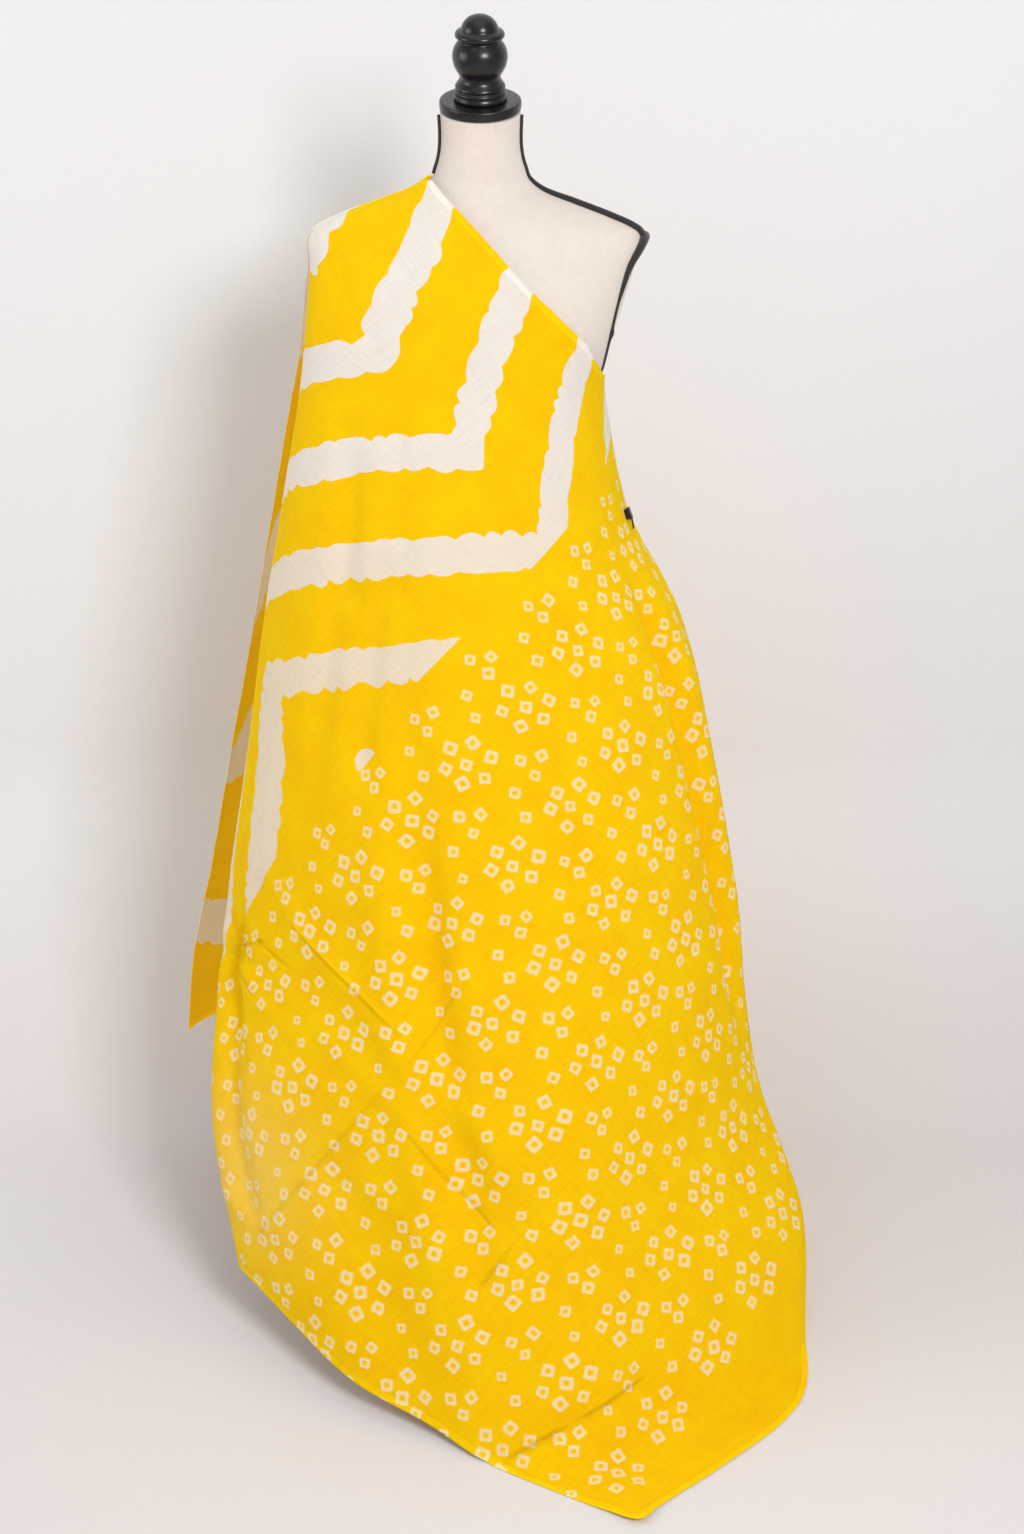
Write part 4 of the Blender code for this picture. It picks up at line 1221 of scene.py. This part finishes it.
DOTS = (
    # lengthwise, crosswise, side, turn; from the cluster's middle, in millimetres
    (0, 0, 15.0, UPRIGHT),
    (-13, -23, 15.0, POINTED),
    (15, -26, 15.0, SLANTED),
    (24, -5, 15.0, UPRIGHT),
    (12, 22, 15.0, POINTED),
    (-14, 22, 15.0, SLANTED),
    (-24, 2, 15.0, UPRIGHT),
    (-79, 5, 13.5, UPRIGHT),
    (-66, -16, 13.5, POINTED),
    (-57, 4, 13.5, UPRIGHT),
    (-56, 40, 12.5, UPRIGHT),
    (-28, 51, 12.5, UPRIGHT),
)
DOT_STRAY = 0.0045       # how far a ring may be off its place
DOT_SWING = 0.45         # and how far off its turn, in radians
DOT_UNEVENNESS = 0.24    # and off its size
DOT_SQUARENESS = 7.0     # power of its outline
DOT_OUTSIDE = (0.45, 0.50)         # shares of its side over which the ring fades out
DOT_MIDDLE = (0.155, 0.235)        # and over which it fades into its dyed middle
DRAWN_SCALE = 160.0      # how finely the threads draw the dots' edges out of line
DRAWN_REACH = 0.0026
MUSLIN_PITCH = 0.0009
MUSLIN_SLUB = (0.0024, 0.050)
MUSLIN_TONE = 0.065      # how far its weave lightens and darkens it
MUSLIN_DEPTH = 0.00018   # of its weave
CRUMPLE_SCALE = 55.0
CRUMPLE_DEPTH = 0.0010
HEM_WIDTH = 0.009
HEM_FADE = 0.0012
HEM_DEPTH = 0.0006
HEM_TONE = 0.13          # how much lighter the doubled cloth is


def zigzag_group():
    """1 inside the zigzag stripes, with scalloped edges where the dye crept under the binding."""
    tree, given, result = new_group("zigzag stripes", (("Coordinates", "Vector"),), (("Mask", "Float"),))
    split = parts_of(tree, given["Coordinates"])
    folded = calculate(tree, "SUBTRACT", split[1], ZIGZAG_FOOT)
    folded = calculate(tree, "PINGPONG", folded, ZIGZAG_HALF_PERIOD)
    lean = STRIPE_SLOPE / (1.0 + STRIPE_SLOPE**2)
    waver = noise_at(tree, given["Coordinates"], 1.0 / WAVER_SIZE, 0.0).outputs[0]
    waver = calculate(tree, "MULTIPLY_ADD", waver, 2.0 * WAVER_HEIGHT, -WAVER_HEIGHT - STRIPE_START)
    along = calculate(tree, "ADD", split[0], waver)
    along = calculate(tree, "MULTIPLY_ADD", folded, STRIPE_SLOPE, along)
    turns = calculate(tree, "DIVIDE", along, STRIPE_PITCH)
    stripe = calculate(tree, "ROUND", turns)
    off = calculate(tree, "MULTIPLY", calculate(tree, "SUBTRACT", turns, stripe), STRIPE_PITCH)
    side = calculate(tree, "MULTIPLY_ADD", calculate(tree, "SIGN", off), EDGE_NUMBER, stripe)
    apart = calculate(tree, "MULTIPLY", side, EDGE_SPREAD)
    edge = add_node(tree, "ShaderNodeCombineXYZ", {0: split[1], 1: apart})
    stray = noise_at(tree, edge.outputs[0], SCALLOP_SCALE, 1.0).outputs
    scallop = calculate(tree, "MULTIPLY_ADD", stray[0], SCALLOP_STRAY, side)
    down_edge = calculate(tree, "MULTIPLY_ADD", off, -lean, folded)
    scallop = calculate(tree, "MULTIPLY_ADD", down_edge, 1.0 / SCALLOP_LENGTH, scallop)
    arc = calculate(tree, "SINE", calculate(tree, "MULTIPLY", scallop, math.pi))
    arc = calculate(tree, "ABSOLUTE", arc)
    depth = add_node(tree, "ShaderNodeSeparateColor", {0: stray[1]}).outputs[1]
    depth = smooth_step(tree, depth, *SCALLOP_RANGE)
    least = SCALLOP_DEPTH * SCALLOP_LEAST
    depth = calculate(tree, "MULTIPLY_ADD", depth, SCALLOP_DEPTH - least, least)
    bulge = calculate(tree, "MULTIPLY", calculate(tree, "SUBTRACT", arc, SCALLOP_MIDDLE), depth)
    wide = smooth_step(tree, split[1], *WIDE_LEGS)
    half = calculate(tree, "MULTIPLY_ADD", wide, WIDER, STRIPE_HALF_WIDTH)
    half = calculate(tree, "ADD", bulge, half)
    beyond = calculate(tree, "SUBTRACT", calculate(tree, "ABSOLUTE", off), half)
    outside = smooth_step(tree, beyond, -EDGE_BLUR, EDGE_BLUR)
    past = smooth_step(tree, split[0], STRIPES_END - EDGE_BLUR, STRIPES_END + EDGE_BLUR)
    past = calculate(tree, "MAXIMUM", past, calculate(tree, "GREATER_THAN", turns, LAST_STRIPE))
    odd = calculate(tree, "PINGPONG", stripe, 1.0)
    kept = calculate(tree, "MAXIMUM", odd, calculate(tree, "GREATER_THAN", stripe, SPARSE_FROM))
    past = calculate(tree, "MAXIMUM", past, calculate(tree, "SUBTRACT", 1.0, kept))
    inside = calculate(tree, "SUBTRACT", 1.0, calculate(tree, "MAXIMUM", outside, past))
    flat = add_node(tree, "ShaderNodeCombineXYZ", {0: split[0], 1: split[1]}).outputs[0]
    away = add_node(tree, "ShaderNodeVectorMath", {0: flat, 1: (*SPOT_PLACE, 0.0)}, operation="DISTANCE")
    spot = smooth_step(tree, away.outputs["Value"], SPOT_RADIUS + EDGE_BLUR, SPOT_RADIUS - EDGE_BLUR)
    half_spot = calculate(tree, "MULTIPLY", spot, calculate(tree, "LESS_THAN", split[0], SPOT_PLACE[0]))
    feed(tree, result["Mask"], calculate(tree, "MAXIMUM", inside, half_spot))
    return tree


def strayed(tree, chance, reach):
    """A chance from 0 to 1 as an offset either way."""
    return calculate(tree, "MULTIPLY_ADD", chance, reach, -reach / 2)


def tied_dot_group():
    """1 on one ring of each cluster: a tied dot's undyed square ring round its dyed middle."""
    tree, given, result = new_group(
        "tied dot",
        (("Coordinates", "Vector"), ("Place", "Vector"), ("Side", "Float"), ("Turn", "Float"),
         ("Number", "Float")),
        (("Mask", "Float"),),
    )
    moved = add_node(
        tree, "ShaderNodeVectorMath", {0: given["Coordinates"], 1: given["Place"]}, operation="SUBTRACT"
    )
    split = parts_of(tree, moved.outputs[0])
    column = calculate(tree, "ROUND", calculate(tree, "DIVIDE", split[0], DOT_COLUMN[0]))
    across = calculate(tree, "MULTIPLY_ADD", column, -DOT_COLUMN[1], split[1])
    row = calculate(tree, "ROUND", calculate(tree, "DIVIDE", across, DOT_ROW))
    cell = add_node(tree, "ShaderNodeCombineXYZ", {0: column, 1: row, 2: given["Number"]})
    chance = add_node(tree, "ShaderNodeTexWhiteNoise", {"Vector": cell.outputs[0]}).outputs["Color"]
    chance = parts_of(tree, chance)
    own_along = calculate(tree, "MULTIPLY_ADD", column, -DOT_COLUMN[0], split[0])
    own_across = calculate(tree, "MULTIPLY_ADD", row, -DOT_ROW, across)
    own_along = calculate(tree, "ADD", own_along, strayed(tree, chance[0], DOT_STRAY))
    own_across = calculate(tree, "ADD", own_across, strayed(tree, chance[1], DOT_STRAY))
    own = add_node(tree, "ShaderNodeCombineXYZ", {0: own_along, 1: own_across})
    turn = calculate(tree, "SUBTRACT", strayed(tree, chance[2], DOT_SWING), given["Turn"])
    turned_place = add_node(
        tree, "ShaderNodeVectorRotate", {"Vector": own.outputs[0], "Angle": turn}, rotation_type="Z_AXIS"
    )
    split = parts_of(tree, turned_place.outputs[0])
    size = calculate(tree, "MULTIPLY_ADD", chance[1], DOT_UNEVENNESS, 1.0 - DOT_UNEVENNESS / 2)
    size = calculate(tree, "MULTIPLY", size, given["Side"])
    shares = [calculate(tree, "DIVIDE", calculate(tree, "ABSOLUTE", side), size) for side in split[:2]]
    powers = [calculate(tree, "POWER", share, DOT_SQUARENESS) for share in shares]
    distance = calculate(tree, "POWER", calculate(tree, "ADD", *powers), 1.0 / DOT_SQUARENESS)
    outside = smooth_step(tree, distance, *DOT_OUTSIDE)
    core = smooth_step(tree, distance, *DOT_MIDDLE)
    ring = calculate(tree, "SUBTRACT", core, outside, clamped=True)
    first = calculate(tree, "GREATER_THAN", column, -0.5)
    last = calculate(tree, "LESS_THAN", column, DOT_COLUMNS - 0.5)
    ring = calculate(tree, "MULTIPLY", ring, calculate(tree, "MULTIPLY", first, last))
    feed(tree, result["Mask"], ring)
    return tree


def crease_group():
    """Height of one sharp crease: a ridge or, below zero, a groove along a straight line."""
    tree, given, result = new_group(
        "crease",
        (("Coordinates", "Vector"), ("Start", "Vector"), ("Run", "Vector"), ("Height", "Float"),
         ("Half Width", "Float")),
        (("Height", "Float"),),
    )
    moved = add_node(
        tree, "ShaderNodeVectorMath", {0: given["Coordinates"], 1: given["Start"]}, operation="SUBTRACT"
    ).outputs[0]
    reached, whole = (
        add_node(tree, "ShaderNodeVectorMath", {0: side, 1: given["Run"]}, operation="DOT_PRODUCT")
        .outputs["Value"]
        for side in (moved, given["Run"])
    )
    share = calculate(tree, "DIVIDE", reached, whole, clamped=True)
    foot = add_node(tree, "ShaderNodeVectorMath", {0: given["Run"], "Scale": share}, operation="SCALE")
    away = add_node(tree, "ShaderNodeVectorMath", {0: moved, 1: foot.outputs[0]}, operation="DISTANCE")
    away = calculate(tree, "DIVIDE", away.outputs["Value"], given["Half Width"])
    near = calculate(tree, "SUBTRACT", 1.0, away, clamped=True)
    near = calculate(tree, "POWER", near, CREASE_SHARPNESS)
    run_out = smooth_step(tree, calculate(tree, "PINGPONG", share, 0.5), *CREASE_RUN_OUT)
    near = calculate(tree, "MULTIPLY", near, run_out)
    feed(tree, result["Height"], calculate(tree, "MULTIPLY", near, given["Height"]))
    return tree


zigzag = zigzag_group()
tied_dot = tied_dot_group()
crease = crease_group()
muslin, tree, shader = new_material("yellow muslin", {
    "Roughness": 0.90, "Specular IOR Level": 0.06, "Subsurface Weight": 0.6,
    "Subsurface Radius": (1.0, 0.8, 0.5), "Subsurface Scale": 0.0015,
    "Emission Strength": GLOW_STRENGTH,
})
printed = add_node(tree, "ShaderNodeUVMap", {}, uv_map="print").outputs[0]
drawn = noise_at(tree, printed, DRAWN_SCALE, 1.0).outputs[1]
drawn = add_node(tree, "ShaderNodeVectorMath", {0: drawn, 1: (0.5, 0.5, 0.5)}, operation="SUBTRACT")
drawn = add_node(
    tree, "ShaderNodeVectorMath",
    {0: drawn.outputs[0], 1: (DRAWN_REACH, DRAWN_REACH, 0.0), 2: printed}, operation="MULTIPLY_ADD",
).outputs[0]
dots = None
for number, (along, across, side, turn) in enumerate(DOTS):
    ring = use_group(tree, tied_dot, {
        "Coordinates": drawn,
        "Place": (DOTS_START[0] + along / 1000, DOTS_START[1] + across / 1000, 0.0),
        "Side": side / 1000, "Turn": math.radians(turn), "Number": float(number),
    })["Mask"]
    dots = ring if dots is None else calculate(tree, "MAXIMUM", dots, ring)
stripes = use_group(tree, zigzag, {"Coordinates": printed})["Mask"]
hem, painted_glow, painted_through = (
    add_node(tree, "ShaderNodeAttribute", {}, attribute_name=name).outputs["Fac"]
    for name in ("hem", "painted_glow", "painted_through")
)
drift = drifting(tree, printed, *DYE_DRIFT)
dye_and_light_through = mixed(tree, calculate(tree, "SUBTRACT", drift, DYE_EVEN, clamped=True), YELLOW, DEEP_YELLOW)
# Painted light: the front layer's left is paled where light comes through it.
dye_and_light_through = mixed(tree, painted_through, dye_and_light_through, PAINTED_THROUGH_COLOUR)
# Painted shade: the undyed stripes are warmer and darker lower down, ivory higher up.
height = parts_of(tree, object_place(tree))[2]
undyed_with_painted_shade = mixed(tree, smooth_step(tree, height, *PEACH_TO_IVORY), PAINTED_PEACH_SHADE, IVORY)
surface = mixed(tree, dots, dye_and_light_through, RING_COLOUR)
surface = mixed(tree, stripes, surface, undyed_with_painted_shade)
cloth = woven(tree, printed, MUSLIN_PITCH, MUSLIN_SLUB)
turned_in = calculate(tree, "SUBTRACT", 1.0, smooth_step(tree, hem, HEM_WIDTH - HEM_FADE, HEM_WIDTH))
tone = calculate(tree, "MULTIPLY_ADD", cloth["Shade"], MUSLIN_TONE, 1.0)
tone = calculate(tree, "MULTIPLY_ADD", turned_in, HEM_TONE, tone)
surface = shaded(tree, surface, tone)
# Painted glow: the back layer's outer half emits its colour mixed with a glow colour, for light through
# it.
glow = mixed(tree, GLOW_SHARE, surface, GLOW_COLOUR)
feed(tree, shader.inputs["Emission Color"], mixed(tree, painted_glow, (0.0, 0.0, 0.0, 1.0), glow))
feed(tree, shader.inputs["Base Color"], surface)
crumple = noise_at(tree, printed, CRUMPLE_SCALE, 2.0).outputs[0]
raised = calculate(tree, "MULTIPLY", cloth["Height"], MUSLIN_DEPTH)
raised = calculate(tree, "MULTIPLY_ADD", crumple, CRUMPLE_DEPTH, raised)
raised = calculate(tree, "MULTIPLY_ADD", turned_in, HEM_DEPTH, raised)
for _, start_u, start_v, end_u, end_v, high, half_width in SHARP_CREASES:
    ridge = use_group(tree, crease, {
        "Coordinates": printed, "Start": (start_u, start_v, 0.0),
        "Run": (end_u - start_u, end_v - start_v, 0.0), "Height": high, "Half Width": half_width,
    })["Height"]
    raised = calculate(tree, "ADD", raised, ridge)
give_relief(tree, shader, raised, 1.0)
stand_in(sari, "sari_cloth", muslin, "sari")

# Clip: a small black enamelled clip that holds the gathered cloth at the form's right side, with
# three fine curved prongs below its plate.
CLIP_SIZE = (0.011, 0.003, 0.015)
CLIP_BEARING = 1.86
CLIP_HEIGHT = 0.965
CLIP_OUT = 0.0061        # from the cloth's inner face to the plate's middle
CLIP_REACH = 0.0045      # how far its jaw stands in towards the cloth
CLIP_RIM = 0.0012        # from the plate's edge to the jaw
CLIP_ROUNDING = 0.0004
CLIP_DROP = 0.01         # to the place lower down that tells which way the cloth hangs
PRONG_LENGTH = 0.012
PRONG_STEPS = 6
PRONG_RADIUS = 0.0006
PRONG_CURL = 0.0022      # how far a prong's tip bends in to the cloth
PRONG_TAPER = 0.93       # at each step
PRONG_COUNT = 3
PRONG_PITCH = 0.0035
ENAMEL_COLOUR = (0.018, 0.017, 0.019, 1.0)
ENAMEL_SHEEN = 0.38      # roughness
ENAMEL_DRIFT = (0.004, 0.2)
SCRATCH_SCALE = 1500.0
SCRATCH_DEPTH = 0.00003

heights = np.array([CLIP_HEIGHT, CLIP_HEIGHT - CLIP_DROP])
here = folded_points(heights, CLIP_BEARING, back_layer=False)
beside = folded_points(heights, CLIP_BEARING + BEARING_STEP, back_layer=False)
across = Vector(beside[0] - here[0]).normalized()
down = Vector(here[1] - here[0]).normalized()
outward = down.cross(across).normalized()
across = outward.cross(down).normalized()
clip_axes = Matrix((across, outward, -down)).transposed().to_4x4()
clip_place = Matrix.Translation(Vector(here[0]) + outward * CLIP_OUT) @ clip_axes

enamel, tree, shader = new_material("black enamel", {"Base Color": ENAMEL_COLOUR, "Metallic": 0.4})
place = object_place(tree)
worn = drifting(tree, place, *ENAMEL_DRIFT)
feed(tree, shader.inputs["Roughness"], calculate(tree, "MULTIPLY", worn, ENAMEL_SHEEN))
scratches = noise_at(tree, place, SCRATCH_SCALE, 2.0).outputs[0]
give_relief(tree, shader, scratches, SCRATCH_DEPTH)

bpy.ops.mesh.primitive_cube_add(size=1.0)
plate = bpy.context.object
plate.scale = CLIP_SIZE
bpy.ops.object.transform_apply(location=True, rotation=True, scale=True)
bpy.ops.object.mode_set(mode="EDIT")
bpy.ops.mesh.select_all(action="DESELECT")
bpy.ops.object.mode_set(mode="OBJECT")
for face in plate.data.polygons:
    face.select = face.normal.y < -0.9
bpy.ops.object.mode_set(mode="EDIT")
bpy.ops.mesh.inset(thickness=CLIP_RIM)
bpy.ops.mesh.extrude_region_move(TRANSFORM_OT_translate={"value": (0.0, -CLIP_REACH, 0.0)})
bpy.ops.mesh.select_all(action="SELECT")
bpy.ops.mesh.bevel(offset=CLIP_ROUNDING, segments=2)
bpy.ops.object.mode_set(mode="OBJECT")
smooth_but_edges(plate, 40)
plate.matrix_world = clip_place
apply_place(plate)
stand_in(plate, "clip_plate", enamel, "clip")
for number in range(PRONG_COUNT):
    bpy.ops.mesh.primitive_circle_add(
        vertices=12, radius=PRONG_RADIUS, fill_type="NGON", location=(0.0, 0.0, -CLIP_SIZE[2] / 2)
    )
    prong = bpy.context.object
    bpy.ops.object.transform_apply(location=True, rotation=True, scale=True)
    bpy.ops.object.mode_set(mode="EDIT")
    bpy.ops.mesh.select_all(action="SELECT")
    for step in range(PRONG_STEPS):
        inwards = -PRONG_CURL * (2 * step + 1) / PRONG_STEPS**2
        lower = -PRONG_LENGTH / PRONG_STEPS
        bpy.ops.mesh.extrude_region_move(TRANSFORM_OT_translate={"value": (0.0, inwards, lower)})
        bpy.ops.transform.resize(value=(PRONG_TAPER, PRONG_TAPER, 1.0))
    bpy.ops.mesh.select_all(action="SELECT")
    bpy.ops.mesh.normals_make_consistent(inside=False)
    bpy.ops.object.mode_set(mode="OBJECT")
    smooth_but_edges(prong, 60)
    sideways = (number - (PRONG_COUNT - 1) / 2) * PRONG_PITCH
    prong.matrix_world = clip_place @ Matrix.Translation((sideways, 0.0, -GAP))
    apply_place(prong)
    stand_in(prong, f"prong_{number + 1}", enamel, f"clip_prong_{number + 1}")
